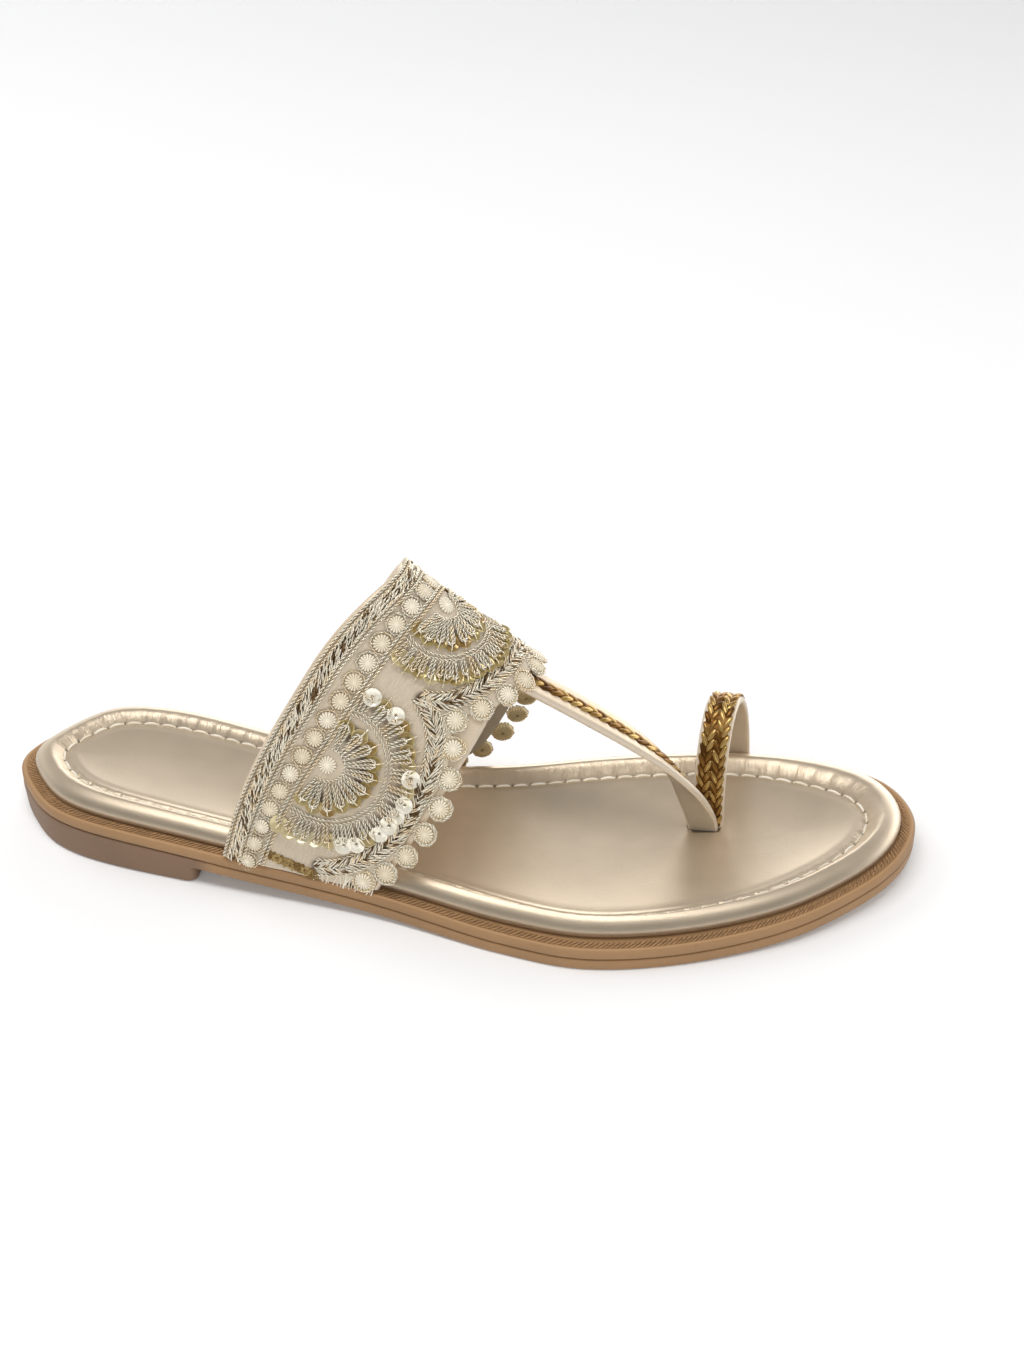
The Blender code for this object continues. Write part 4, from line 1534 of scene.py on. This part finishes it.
SCALLOP_TOP = mirrored((
    (0.30, 0.635), (0.313, 0.72), (0.333, 0.79), (0.362, 0.845), (0.40, 0.88),
    (0.45, 0.905), (0.50, 0.912),
))
BRAID_HALF = 1.9
EDGE_PEARLS = ((0.010, 0.90), (0.030, 0.995), (0.066, 1.05), (0.110, 1.072), (0.158, 1.068),
               (0.208, 1.022), (0.256, 0.945), (0.300, 0.865), (0.348, 0.95),
               (0.408, 1.025), (0.469, 1.06))
# Columns: place around and along the band, whether it turns to the medial side, size.
MEDALLIONS = ((0.148, 0.38, False, 1.0), (0.497, 0.37, False, 0.86), (0.855, 0.38, True, 1.0))
PETAL_ANGLES = (-4, 18, 37, 57, 76, 95, 114, 133, 151, 169, 186)
OUTER_SEQUINS = (3, 13, 23, 32, 41, 50, 59, 68, 77, 86, 95, 104, 113, 122, 131, 140, 150, 160,
                 170, 179, 188)
# The facing sequins of the side medallions, by number in the row above; their pale tone is a
# painted reflection.
FACING = (0, 2, 7, 9, 10, 11, 12, 14, 15)
LOW_SEQUINS = 5


def band_path(around, along, lift):
    return on_band(np.asarray(around, float), np.asarray(along, float), lift)


def blot(gap, centre, spread, power):
    """1 within a spread of a distance and nothing further off, with soft edges."""
    return np.exp(-((gap - centre) / spread) ** power)


def even_on_band(table, pitch):
    """Places at equal distances on a line round the band."""
    curve = catmull_rom(table, 10)
    distance = travelled(band_path(curve[:, 0], curve[:, 1], CLOTH_TOP))
    count = max(int(round(distance[-1] / pitch)), 2)
    wanted = np.linspace(0, distance[-1], count + 1)
    return [np.interp(wanted, distance, column) for column in curve.T]


def side_step(around, along, offset):
    """The line moved sideways over the band by a distance in millimetres."""
    point, per_round, per_along, normal = band_frame(around, along)
    side = unit(np.cross(normal, np.gradient(point, axis=0)))
    round_by, along_by = surface_step(per_round, per_along, side * offset)
    return around + round_by, along + along_by


def cloth_shade(points, along):
    """Painted shade on the cloth under and between the strands, petals, loops and pearls worked on
    it.
    """
    shade = 0.4 * blot(along, 0.081, 0.045, 4)
    for table in scallops():
        line = catmull_rom(table, 6)
        path = band_path(line[:, 0], line[:, 1], CLOTH_TOP)
        gap = np.min([np.linalg.norm(points - spot, axis=-1) for spot in path], axis=0)
        shade = np.maximum(shade, 0.4 * blot(gap, 0.0, 2.1, 4))
    for around, place, _, size in MEDALLIONS:
        centre = band_path([around], [place], CLOTH_TOP)[0]
        gap = np.linalg.norm(points - centre, axis=-1) / size
        front = smooth_step((along - 0.33) / 0.06)
        petals = blot(gap, 10.4, 2.9, 6) * front
        loops = blot(gap, 20.2, 2.2, 6) * front
        shade = np.maximum(shade, np.maximum(0.3 * petals, 0.22 * loops))
    row, edge, _ = pearl_rows()
    for u, v, _ in row + edge:
        centre = band_path([u], [v], CLOTH_TOP)[0]
        gap = np.linalg.norm(points - centre, axis=-1)
        shade = np.maximum(shade, 0.2 * blot(gap, 2.6, 0.9, 4))
    return shade


def make_cloth():
    """The panel's cloth: a thin shell with a cut front edge that follows the pearls."""
    columns, rows = 260, 44
    around = np.linspace(-FOOT_REACH, 1 + FOOT_REACH, columns)
    front = read_line(CLOTH_EDGE, np.clip(around, 0, 1))
    shares = np.linspace(0, 1, rows)[:, None]
    along = REAR_CLOTH + (front - REAR_CLOTH) * shares
    across = np.broadcast_to(around, along.shape)
    soft = 0.10 * np.sin(across * 61.0 + along * 5.0) * np.sin(along * 23.0 + 1.0)
    top = on_band(across, along, CLOTH_TOP + soft)
    under = on_band(across, along, CLOTH_UNDER)
    place = np.stack([across * BAND_GIRTH, along * BAND_LENGTH], -1)
    shade = 0.5 - cloth_shade(top, along)
    shape = Shape()
    points = np.concatenate([top, under[::-1]])
    places = np.concatenate([place, place[::-1]])
    # The underside's low tone is painted shade too.
    tones = np.concatenate([shade, np.full(along.shape, 0.3)]).ravel()
    faces = grid_faces(rows * 2, columns, loop_rows=True)
    for column in (0, columns - 1):
        for row in range(rows - 1):
            opposite = rows * 2 - 1 - row
            faces.append((row * columns + column, (row + 1) * columns + column,
                          (opposite - 1) * columns + column, opposite * columns + column))
    shape.add(points, faces, tone=tones, place=places)
    return shape.finish("band_cloth", slot_look("band_cloth"), sharp=50)


def make_border_cords():
    """Pairs of cords: three close pairs round the band, and one either side of each braid."""
    rng = random.Random(21)
    lines = Lines()
    # Columns: line, step along it, distance to either side, lift, palest tone.
    pairs = [(table, 1.5, 0.54, 0.42, 0.8) for table in (REAR_CHAIN, SECOND_CHAIN, THIRD_CHAIN)]
    pairs += [(table, 1.2, BRAID_HALF + 0.35, 0.3, 0.75) for table in scallops()]
    for table, step, reach, lift, pale in pairs:
        around, along = even_on_band(table, step)
        for side in (-1, 1):
            u, v = side_step(around, along, side * reach)
            lines.add(band_path(u, v, CLOTH_TOP + lift), tone=rng.uniform(0.5, pale))
    return lines.cords("border_cords", slot_look("zari"), radius=0.29, offset=0.23)


def scallops():
    """The lines of the three scallops, from the lateral side over to the medial."""
    other = [(1 - around, along) for around, along in reversed(SCALLOP_SIDE)]
    return SCALLOP_SIDE, SCALLOP_TOP, other


def strand_shape(length, radius):
    """One bowed metal strand of a braid, with painted shade on its underside and at its ends."""
    def spot(ring, side, cosine, sine):
        share, size = ring
        return (share * length / 2, radius * size * cosine,
                radius * size * sine + 0.22 * (1 - share ** 2),
                min(0.45 * (1 - sine) + 0.5 * abs(share) ** 3, 1.0))

    rings = ((-1.0, 0.3), (-0.6, 0.9), (0.0, 1.0), (0.6, 0.9), (1.0, 0.3))
    return round_shape("strand", rings, 4, spot)


# Strands of a braid. Columns: distance from its line, lean in degrees.
STRIP_ROWS = ((-1.3, 20), (-0.45, 24), (0.42, 20), (1.25, 24))
BRAID_ROWS = ((-1.4, -33), (-0.55, -35), (0.5, 35), (1.35, 33))


def strand_rows(places, tones, table, rows, pitch, rng):
    """Rows of slanted metal strands that follow a line on the band."""
    around, along = even_on_band(table, pitch)
    point, _, _, normal = band_frame(around, along)
    ahead = unit(np.gradient(point, axis=0))
    aside = unit(np.cross(normal, ahead))
    for offset, lean in rows:
        u, v = side_step(around, along, offset)
        spots = on_band(u, v, CLOTH_TOP + 0.25)
        for index in range(len(spots)):
            angle = math.radians(lean + rng.uniform(-10, 10))
            forward = ahead[index] * math.cos(angle) + aside[index] * math.sin(angle)
            spot = (spots[index] + normal[index] * rng.uniform(-0.1, 0.35)
                    + ahead[index] * rng.uniform(-0.25, 0.25)
                    + aside[index] * rng.uniform(-0.12, 0.12))
            up = normal[index] + aside[index] * rng.uniform(-0.4, 0.4)
            places.append(turned_matrix(spot, forward, up, rng.uniform(0.8, 1.15)))
            tones.append(rng.choice((0.1, 0.5, 0.8, 0.9, 1.0, 1.0)))


def make_braids():
    """The slanted strip along the rear edge and the braids of the scallops."""
    rng = random.Random(31)
    places, tones = [], []
    strand_rows(places, tones, REAR_STRIP, STRIP_ROWS, 1.05, rng)
    for table in scallops():
        strand_rows(places, tones, table, BRAID_ROWS, 0.86, rng)
    return scatter("zari_braids", places, strand_shape(2.8, 0.27), slot_look("zari"), tones)


def pearl_rows():
    """Placements of every satin-stitched pearl: the row, the edge and the centres."""
    rng = random.Random(41)
    row, edge, centres = [], [], []
    around, along = even_on_band(PEARL_ROW, 6.05)
    for u, v in zip(around, along):
        row.append((u, v, rng.uniform(0.93, 1.03)))
    for u, v in EDGE_PEARLS:
        edge.append((u, v, rng.uniform(0.97, 1.07)))
        edge.append((1 - u, v, rng.uniform(0.97, 1.07)))
    edge = [pearl for index, pearl in enumerate(edge)
            if not any(abs(pearl[0] - other[0]) < 1e-6 for other in edge[:index])]
    for u, v, _, _ in MEDALLIONS:
        centres.append((u, v, 1.05))
    return row, edge, centres


def make_pearls():
    """Satin-stitched domes with radial stitches."""
    stitches, height, radius = 16, 0.6, 2.3
    profile = [(0.1, 0.9), (0.4, 1.0), (0.76, 0.95), (0.94, 0.6), (1.0, 0.05), (0.6, -0.2)]

    # Every third side is a groove between stitches; its gap is painted shade.
    def ripple(share, rise, side):
        ridge = -1.0 if side % 3 == 0 else 0.6
        depth = ridge * float(smooth_step(share * 1.6))
        return (radius * share * (1 + 0.06 * ridge * share),
                height * rise + 0.13 * depth * (1 if rise > 0 else 0),
                max(-depth, 0.0) * 0.75 if 0.3 < share else 0.0)

    pearl = lathe("pearl", profile, stitches * 3, ripple)
    rng = random.Random(43)
    row, edge, centres = pearl_rows()
    places, tones = [], []
    for u, v, size in row + edge + centres:
        point, _, per_along, normal = band_frame(u, v)
        spot = point + normal * (CLOTH_TOP + 0.05)
        tilt = normal + 0.12 * np.array([rng.uniform(-1, 1) for _ in range(3)])
        places.append(turned_matrix(spot, per_along, tilt, size))
        tones.append(rng.uniform(0.35, 0.8))
    return scatter("satin_pearls", places, pearl, slot_look("pearl_thread"), tones)


def make_pearl_backs():
    """Stitched discs behind the pearls of the free edge."""
    profile = [(0.5, -0.95), (1.3, -0.9), (2.3, -0.78), (2.8, -0.5), (2.92, -0.2), (2.8, 0.0),
               (2.3, 0.08)]

    # Every other side of the lower rings is a groove between stitches, darkened by painted shade
    # through its gap.
    def ripple(radius, height, side):
        low = side % 2 == 0 and height < -0.6
        return radius * (0.97 if low else 1.0), height + 0.14 * low, 0.8 * low

    disc = lathe("pearl_back", profile, 36, ripple)
    _, edge, _ = pearl_rows()
    places, tones = [], []
    rng = random.Random(47)
    for u, v, size in edge:
        point, _, per_along, normal = band_frame(u, v)
        places.append(turned_matrix(point + normal * CLOTH_TOP, per_along, normal, size))
        tones.append(rng.uniform(0.7, 1.0))
    return scatter("pearl_backs", places, disc, slot_look("gilt"), tones)


def ring_on_band(u, v, radius, lift, rng, rough):
    """A closed, slightly uneven ring round one place on the band."""
    point, per_round, _, normal = band_frame(u, v)
    first = unit(per_round)
    second = np.cross(normal, first)
    steps = 36
    points = []
    phase = rng.uniform(0, math.tau)
    for index in range(steps):
        angle = math.tau * index / steps
        reach = radius + rough * (0.5 * math.sin(3 * angle + phase) + math.sin(9 * angle + phase)
                                  + rng.uniform(-0.4, 0.4))
        points.append(point + (math.cos(angle) * first + math.sin(angle) * second) * reach
                      + normal * lift)
    return points


def make_pearl_rings():
    """Fine cords laid round the pearls."""
    rng = random.Random(53)
    row, edge, _ = pearl_rows()
    lines = Lines()
    # Columns: pearls, rings as radius and lift, range of tones.
    for pearls, rings, tones in ((row, ((2.8, 0.2),), (0.45, 0.8)),
                                 (edge, ((2.66, 0.25), (2.98, 0.1)), (0.5, 0.9))):
        for u, v, size in pearls:
            for radius, lift in rings:
                lines.add(ring_on_band(u, v, radius * size, CLOTH_TOP + lift, rng, 0.16), True,
                          rng.uniform(*tones))
    return lines.cords("pearl_rings", slot_look("zari"), radius=0.17, offset=0.14, turn=2.0,
                       step=0.4)


def arc_on_chart(chart, radius, start, end, lift, wobble, count=60):
    """An arc round a medallion's centre, a little uneven."""
    degrees = np.linspace(start, end, count)
    reach = radius + wobble * np.sin(np.radians(degrees) * 21)
    u, v = chart.at(reach, degrees)
    return band_path(np.maximum(u, -FOOT_REACH), v, lift)


def spoke(chart, degrees, near, far, lift):
    """A straight thread that leads away from a medallion's centre."""
    u, v = chart.at(np.linspace(near, far, 6), degrees)
    return band_path(np.clip(u, 0, 1), v, lift)


def loop_on_chart(chart, degrees, near, far, root, half, lift, rng, crest):
    """A long loop of thread that points away from a medallion's centre and swells there."""
    t = np.linspace(0.0, 1.0, 19)
    swell = np.sin(math.pi * t) ** 0.8
    reach = near + (far - near) * swell
    width = between(root, half, smooth_step(swell * 1.15))
    aside = width * np.clip(np.cos(math.pi * t) * 2.2, -1, 1)
    turn = degrees + np.degrees(aside / np.maximum(reach, 1.0)) + rng.uniform(-1.5, 1.5)
    u, v = chart.at(reach, turn)
    return band_path(np.clip(u, -FOOT_REACH, 1 + FOOT_REACH), v, lift + crest * swell)


def sequin_shape():
    """A cupped disc with a hole."""
    profile = ((0.38, 0.02), (1.15, 0.06), (1.95, 0.3), (2.35, 0.62), (2.42, 0.6),
               (2.0, 0.2), (1.15, -0.06), (0.38, -0.1))
    sides = 18
    return round_shape("sequin", profile, sides,
                       lambda ring, side, cosine, sine: (ring[0] * cosine, ring[0] * sine,
                                                         ring[1], 0.0),
                       grid_faces(len(profile), sides, loop_rows=True, loop_columns=True))


def sequin_place(chart, reach, degrees, lift, tilt, size):
    """A disc on the band, leaning outwards from a medallion's centre by some degrees."""
    u, v = chart.at(np.array([reach, reach + 0.6]), degrees)
    u = np.clip(u, 0.004, 0.996)
    point, _, _, normal = band_frame(u, v)
    outward = unit(point[1] - point[0] + 1e-9)
    lean = math.radians(tilt)
    up = normal[0] * math.cos(lean) + outward * math.sin(lean)
    forward = outward * math.cos(lean) - normal[0] * math.sin(lean)
    return turned_matrix(point[0] + normal[0] * lift, forward, up, size)


# A medallion's parts, as distances from its centre in millimetres.
INNER_ARC = 4.6
MIDDLE_ARCS = (15.5, 16.7)
PETAL_FOOT, PETAL_TIP = 4.9, 12.2
LOOP_FOOT, LOOP_TIP = 16.9, 22.0
LOOP_ANGLES = np.arange(-3, 188, 7.4)
SEQUIN_REACH, FACING_REACH = 21.7, 22.2
TAIL_START, TAIL_END = 21.3, 24.7
# How high a thread lies over the cloth as it leaves a sequin's hole and goes back down.
PETAL_TAIL_LIFT = np.array([1.2, 1.25, 1.15, 0.9, 0.55, 0.15])
OUTER_TAIL_LIFT = np.array([1.3, 1.45, 1.4, 1.15, 0.7, 0.15])


def add_petals(chart, rng, zari, tails, places, tones):
    """Petals with a vein, and a small sequin and its thread at the tip of each."""
    base = CLOTH_TOP + 0.25
    for degrees in PETAL_ANGLES:
        far = PETAL_TIP + rng.uniform(-0.5, 0.4)
        zari.add(loop_on_chart(chart, degrees, PETAL_FOOT, far, 0.36, 1.05, base + 0.3, rng, 0.5),
                 tone=rng.uniform(0.6, 1.0))
        zari.add(spoke(chart, degrees, 6.8, far - 1.0, base + 0.6), tone=rng.uniform(0.3, 0.9))
        places.append(sequin_place(chart, far - 0.4, degrees, CLOTH_TOP + 0.2,
                                   -10 + rng.uniform(-8, 8), 0.95))
        # A low tone: the foil's olive gold, darkened with painted shade under the petal's tip.
        tones.append(rng.uniform(0.1, 0.5))
        tails.add(spoke(chart, degrees, far - 1.0, far + 2.4, CLOTH_TOP + PETAL_TAIL_LIFT),
                  tone=rng.uniform(0.6, 1.0))


def add_outer_sequins(chart, crown, rng, tails, places, tones):
    """The outer row: sequins that face outwards, pale with a painted reflection, and leaning ones
    with a thread.
    """
    last = len(OUTER_SEQUINS) - 1
    for index, degrees in enumerate(OUTER_SEQUINS):
        if crown and index in (0, last):
            continue
        facing = not crown and index in FACING
        tilt = rng.uniform(-8, 12) if facing else rng.uniform(-30, -8)
        reach = FACING_REACH if facing else SEQUIN_REACH
        places.append(sequin_place(chart, reach + rng.uniform(-0.5, 0.5), degrees,
                                   CLOTH_TOP + (0.75 if facing else 0.5), tilt,
                                   rng.uniform(0.9, 1.04)))
        # A pale tone on the facing sequins is a painted reflection; the last few of a side
        # medallion's row take a middle tone, and the leaning ones a lower one.
        low = not crown and index > last - LOW_SEQUINS
        tones.append(rng.uniform(0.85, 1.0) if facing
                     else rng.uniform(0.5, 0.7) if low else rng.uniform(0.2, 0.65))
        if not facing:
            tails.add(spoke(chart, degrees, TAIL_START, TAIL_END, CLOTH_TOP + OUTER_TAIL_LIFT),
                      tone=rng.uniform(0.5, 0.9))


def make_medallions():
    """Petals, arcs, outer loops and sequins of the three medallions."""
    rng = random.Random(61)
    zari, tails = Lines(), Lines()
    places, tones = [], []
    base = CLOTH_TOP + 0.25
    for around, along, turned, size in MEDALLIONS:
        chart = Chart(around, along, turned, size)
        zari.add(arc_on_chart(chart, INNER_ARC, -12, 192, base, 0.2), tone=0.8)
        for radius in MIDDLE_ARCS:
            zari.add(arc_on_chart(chart, radius, -8, 189, base + 0.1, 0.12, 90), tone=0.75)
        add_petals(chart, rng, zari, tails, places, tones)
        for degrees in LOOP_ANGLES:
            far = LOOP_TIP + rng.uniform(-0.6, 0.5)
            zari.add(loop_on_chart(chart, degrees, LOOP_FOOT, far, 0.4, 0.66, base + 0.4, rng,
                                   0.6), tone=rng.uniform(0.5, 1.0))
        add_outer_sequins(chart, size < 1, rng, tails, places, tones)
    cords = zari.cords("medallion_cords", slot_look("zari"), radius=0.26, offset=0.21,
                       turn=2.4, step=0.36)
    threads = tails.threads("sequin_tails", slot_look("zari"), radius=0.16, sides=5)
    discs = scatter("sequins", places, sequin_shape(), slot_look("sequin_foil"), tones)
    return cords, threads, discs


# Where the gold loops and the frayed cloth lie along the band's feet.
FOOT_LOOPS = np.linspace(0.29, 0.60, 12)
FRAYED = np.linspace(0.62, 0.97, 34)


def make_foot_trims():
    """The gold loops along both feet of the band, and the frayed cloth at its lateral."""
    rng = random.Random(71)
    loops, fray = Lines(), Lines()
    for turned in (False, True):
        for along in FOOT_LOOPS:
            around = 0.012 - 0.01 * (along - 0.29) / 0.31
            loops.add(ring_on_band(1 - around if turned else around, along, 1.05,
                                   CLOTH_TOP + 0.2, rng, 0.3), True, rng.uniform(0.1, 0.5))
        if turned:
            continue
        for start in FRAYED:
            out = rng.uniform(0.003, 0.009)
            along = start + rng.uniform(-0.01, 0.01)
            v = along + np.linspace(0, rng.uniform(-0.02, 0.05), 5)
            lift = CLOTH_TOP - 0.2 + np.linspace(0.2, rng.uniform(-0.4, 0.3), 5)
            fray.add(band_path(np.linspace(0.012, -out, 5), v, lift),
                     tone=rng.uniform(0.2, 0.7))
    gold = loops.threads("foot_loops", slot_look("gilt"), radius=0.28, sides=5)
    loose = fray.threads("frayed_edge", slot_look("stitch_thread"), radius=0.17, sides=4)
    return gold, loose


# ---------------------------------------------------------------- stage

CAMERA_PLACE = (78.8, -429.2, 344.5)
CAMERA_TARGET = (4.0, 82.1, 0.0)
FRAME_SIZE = (1024, 1365)
FOCAL = 2000.0
SENSOR = 36.0


def aimed(name, data, place, target):
    """A camera or a light at a place, turned to a target, both in metres."""
    obj = new_object(name, data)
    obj.location = place
    obj.rotation_euler = (Vector(target) - Vector(place)).to_track_quat("-Z", "Y").to_euler()
    return obj


def make_camera():
    """The camera, which stands and looks as the view needs."""
    camera = bpy.data.cameras.new("studio_camera")
    camera.sensor_width = SENSOR
    camera.lens = FOCAL * SENSOR / max(FRAME_SIZE)
    camera.clip_start, camera.clip_end = 0.01, 50
    bpy.context.scene.camera = aimed("studio_camera", camera, Vector(CAMERA_PLACE) * MM,
                                     Vector(CAMERA_TARGET) * MM)


def make_floor():
    """A plain pale floor."""
    half = 6.0
    mesh = bpy.data.meshes.new("floor")
    mesh.from_pydata([(-half, -half, 0), (half, -half, 0), (half, half, 0), (-half, half, 0)],
                     [], [(0, 1, 2, 3)])
    look = Look("floor_paint")
    soft = look.noise(look.object_place(), 3.0, 2.0)
    mesh.materials.append(look.finish(
        Base_Color=look.mix(soft, colour(246, 246, 246), colour(250, 250, 250)),
        Roughness=0.9))
    floor = new_object("floor", mesh)


def add_light(name, place, size, power, glossy):
    """A soft light over the sandal, which its shine may or may not show."""
    light = bpy.data.lights.new(name, "AREA")
    light.shape = "RECTANGLE"
    light.size, light.size_y = size
    light.energy = power
    aimed(name, light, place, (0.0, 0.0, 0.0)).visible_glossy = glossy


def make_world():
    """A white studio that is brighter near the horizon than overhead."""
    chosen = settings()
    world = bpy.data.worlds.new("studio")
    world.use_nodes = True
    tree = Tree(world.node_tree)
    back = world.node_tree.nodes["Background"]
    parts = world.node_tree.nodes.new("ShaderNodeSeparateXYZ")
    tree.put(parts.inputs[0], tree.node("ShaderNodeTexCoord", output="Generated"))
    dim, bright = chosen.horizon_light * 0.3, chosen.horizon_light
    # The left end of the wall, then the wall behind the camera, then the ceiling.
    # Columns: direction, where the change starts and ends there, brightness before it and
    # after it. None is the brightness that the row above gives.
    light = None
    for axis, start, end, before, after in ((0, -0.5, -0.08, dim, bright),
                                            (1, -0.3, 0.5, chosen.front_light, None),
                                            (2, 0.32, 0.55, None, chosen.ceiling_light)):
        light = tree.node("ShaderNodeMapRange", {"interpolation_type": "SMOOTHSTEP"},
                          {"Value": parts.outputs[axis], "From Min": start, "From Max": end,
                           "To Min": light if before is None else before,
                           "To Max": light if after is None else after})
    tree.put(back.inputs["Color"], (1.0, 1.0, 1.0, 1.0))
    tree.put(back.inputs["Strength"], light)
    bpy.context.scene.world = world


# ---------------------------------------------------------------- the add-on


class ChappalSettings(bpy.types.PropertyGroup):
    """Sizes and colours that a user would change."""

    leather_colour: FloatVectorProperty(
        name="Leather", description="Colour of the foil-coated leather", subtype="COLOR",
        size=3, min=0, max=1, default=(0.70, 0.578, 0.428))
    rubber_colour: FloatVectorProperty(
        name="Sole rubber", description="Colour of the welt and outsole", subtype="COLOR",
        size=3, min=0, max=1, default=(0.31, 0.178, 0.082))
    heel_colour: FloatVectorProperty(
        name="Heel rubber", description="Colour of the heel", subtype="COLOR",
        size=3, min=0, max=1, default=(0.19, 0.115, 0.068))
    cloth_colour: FloatVectorProperty(
        name="Cloth", description="Colour of the band's cloth", subtype="COLOR",
        size=3, min=0, max=1, default=(0.61, 0.515, 0.39))
    grain_size: FloatProperty(
        name="Grain", description="Size of the leather's pebbles, in millimetres",
        default=0.8, min=0.2, max=4.0)
    stitch_pitch: FloatProperty(
        name="Stitch pitch", description="Distance between the footbed's stitch holes",
        unit="LENGTH", default=0.005, min=0.002, max=0.02)
    knurl_pitch: FloatProperty(
        name="Knurl pitch", description="Distance between the welt's ribs",
        unit="LENGTH", default=0.00135, min=0.0008, max=0.005)
    plait_period: FloatProperty(
        name="Plait period", description="Length of one full turn of the plaits",
        unit="LENGTH", default=0.009, min=0.004, max=0.03)
    key_power: FloatProperty(
        name="Key light", description="Power of the main light", unit="POWER",
        default=9.0, min=0, max=500)
    fill_power: FloatProperty(
        name="Fill light", description="Power of the light by the camera", unit="POWER",
        default=20.0, min=0, max=500)
    top_power: FloatProperty(
        name="Top light", description="Power of the light overhead", unit="POWER",
        default=12.0, min=0, max=500)
    horizon_light: FloatProperty(
        name="Horizon", description="Brightness of the studio near the horizon",
        default=3.4, min=0, max=10)
    front_light: FloatProperty(
        name="Front", description="Brightness of the studio behind the camera",
        default=0.34, min=0, max=10)
    ceiling_light: FloatProperty(
        name="Ceiling", description="Brightness of the studio overhead",
        default=0.22, min=0, max=10)


class CHAPPAL_OT_sole(bpy.types.Operator):
    """Make the outsole, heel, welt and its knurled ledge"""

    bl_idname = "chappal.sole"
    bl_label = "Sole"

    def execute(self, context):
        rubber = slot_look("sole_rubber")
        outsole = sole_layer("outsole_layer", OUTSOLE_SIDE, outsole_top,
                             slot_look("outsole_rubber"), OUTSOLE_PAINTED_SHADE, ())
        keep(outsole, "rubber", "outsole")
        keep(make_heel(), "rubber")
        welt = sole_layer("welt", WELT_SIDE, welt_bottom, rubber, WELT_PAINTED_SHADE, WELT_PALE)
        keep(welt, "welt_rubber", "midsole")
        keep(make_knurl(), "welt_rubber")
        return {"FINISHED"}


class CHAPPAL_OT_footbed(bpy.types.Operator):
    """Make the padded footbed with its stitched channel"""

    bl_idname = "chappal.footbed"
    bl_label = "Footbed"

    def execute(self, context):
        cover = make_footbed()
        cut_slot(cover)
        keep(cover, "metallic_leather", "footbed")
        keep(make_stitches(), "metallic_leather")
        return {"FINISHED"}


class CHAPPAL_OT_straps(bpy.types.Operator):
    """Make the band's leather, the thong strap and the toe ring"""

    bl_idname = "chappal.straps"
    bl_label = "Straps"

    def execute(self, context):
        keep(make_band(), "metallic_leather", "upper")
        path, widths = strap_line()
        heights, spans = np.array(STRAP_TAPER).T
        keep(make_strap("thong_strap", path, widths, np.interp(path[:, 2], heights, spans),
                        STRAP_THICKNESS), "metallic_leather")
        path, widths = ring_line()
        keep(make_strap("toe_ring", path, widths, RING_WIDTH, RING_THICKNESS, under=0.33),
             "metallic_leather")
        thong, ring = make_plaits()
        for (leaves, ground), node in ((thong, "thong_braid"), (ring, "ring_braid")):
            keep(leaves, "bronze_braid", node)
            keep(ground, "bronze_braid")
        return {"FINISHED"}


class CHAPPAL_OT_embroidery(bpy.types.Operator):
    """Make the band's cloth, cords, braids, pearls and sequins"""

    bl_idname = "chappal.embroidery"
    bl_label = "Embroidery"

    def execute(self, context):
        keep(make_cloth(), "embroidery", "embroidered_panel")
        for piece in (make_border_cords(), make_braids(), make_pearls(), make_pearl_backs(),
                      make_pearl_rings(), *make_medallions(), *make_foot_trims()):
            keep(piece, "embroidery")
        return {"FINISHED"}


class CHAPPAL_OT_stage(bpy.types.Operator):
    """Make the floor, lights and camera"""

    bl_idname = "chappal.stage"
    bl_label = "Stage"

    def execute(self, context):
        make_floor()
        make_world()
        chosen = settings()
        add_light("key_light", (-1.35, 0.5, 1.05), (1.2, 1.2), chosen.key_power, False)
        add_light("top_light", (-0.1, -0.25, 1.5), (1.3, 0.5), chosen.top_power, True)
        add_light("front_fill", (0.2, -1.9, 1.0), (2.2, 1.0), chosen.fill_power, False)
        make_camera()
        context.scene.view_settings.view_transform = "Standard"
        return {"FINISHED"}


OPERATORS = (CHAPPAL_OT_sole, CHAPPAL_OT_footbed, CHAPPAL_OT_straps, CHAPPAL_OT_embroidery,
             CHAPPAL_OT_stage)


class CHAPPAL_PT_panel(bpy.types.Panel):
    """Lists the sandal's pieces and settings"""

    bl_label = "Kolhapuri Chappal"
    bl_idname = "CHAPPAL_PT_panel"
    bl_space_type = "VIEW_3D"
    bl_region_type = "UI"
    bl_category = "Chappal"

    def draw(self, context):
        for operator in OPERATORS:
            self.layout.operator(operator.bl_idname)
        for name in ChappalSettings.__annotations__:
            self.layout.prop(context.scene.chappal, name)


CLASSES = (ChappalSettings, *OPERATORS, CHAPPAL_PT_panel)


def register():
    for item in CLASSES:
        bpy.utils.register_class(item)
    bpy.types.Scene.chappal = PointerProperty(type=ChappalSettings)


def unregister():
    del bpy.types.Scene.chappal
    for item in reversed(CLASSES):
        bpy.utils.unregister_class(item)


def main():
    register()
    for operator in OPERATORS:
        group, name = operator.bl_idname.split(".")
        getattr(getattr(bpy.ops, group), name)()


if __name__ == "__main__":
    main()
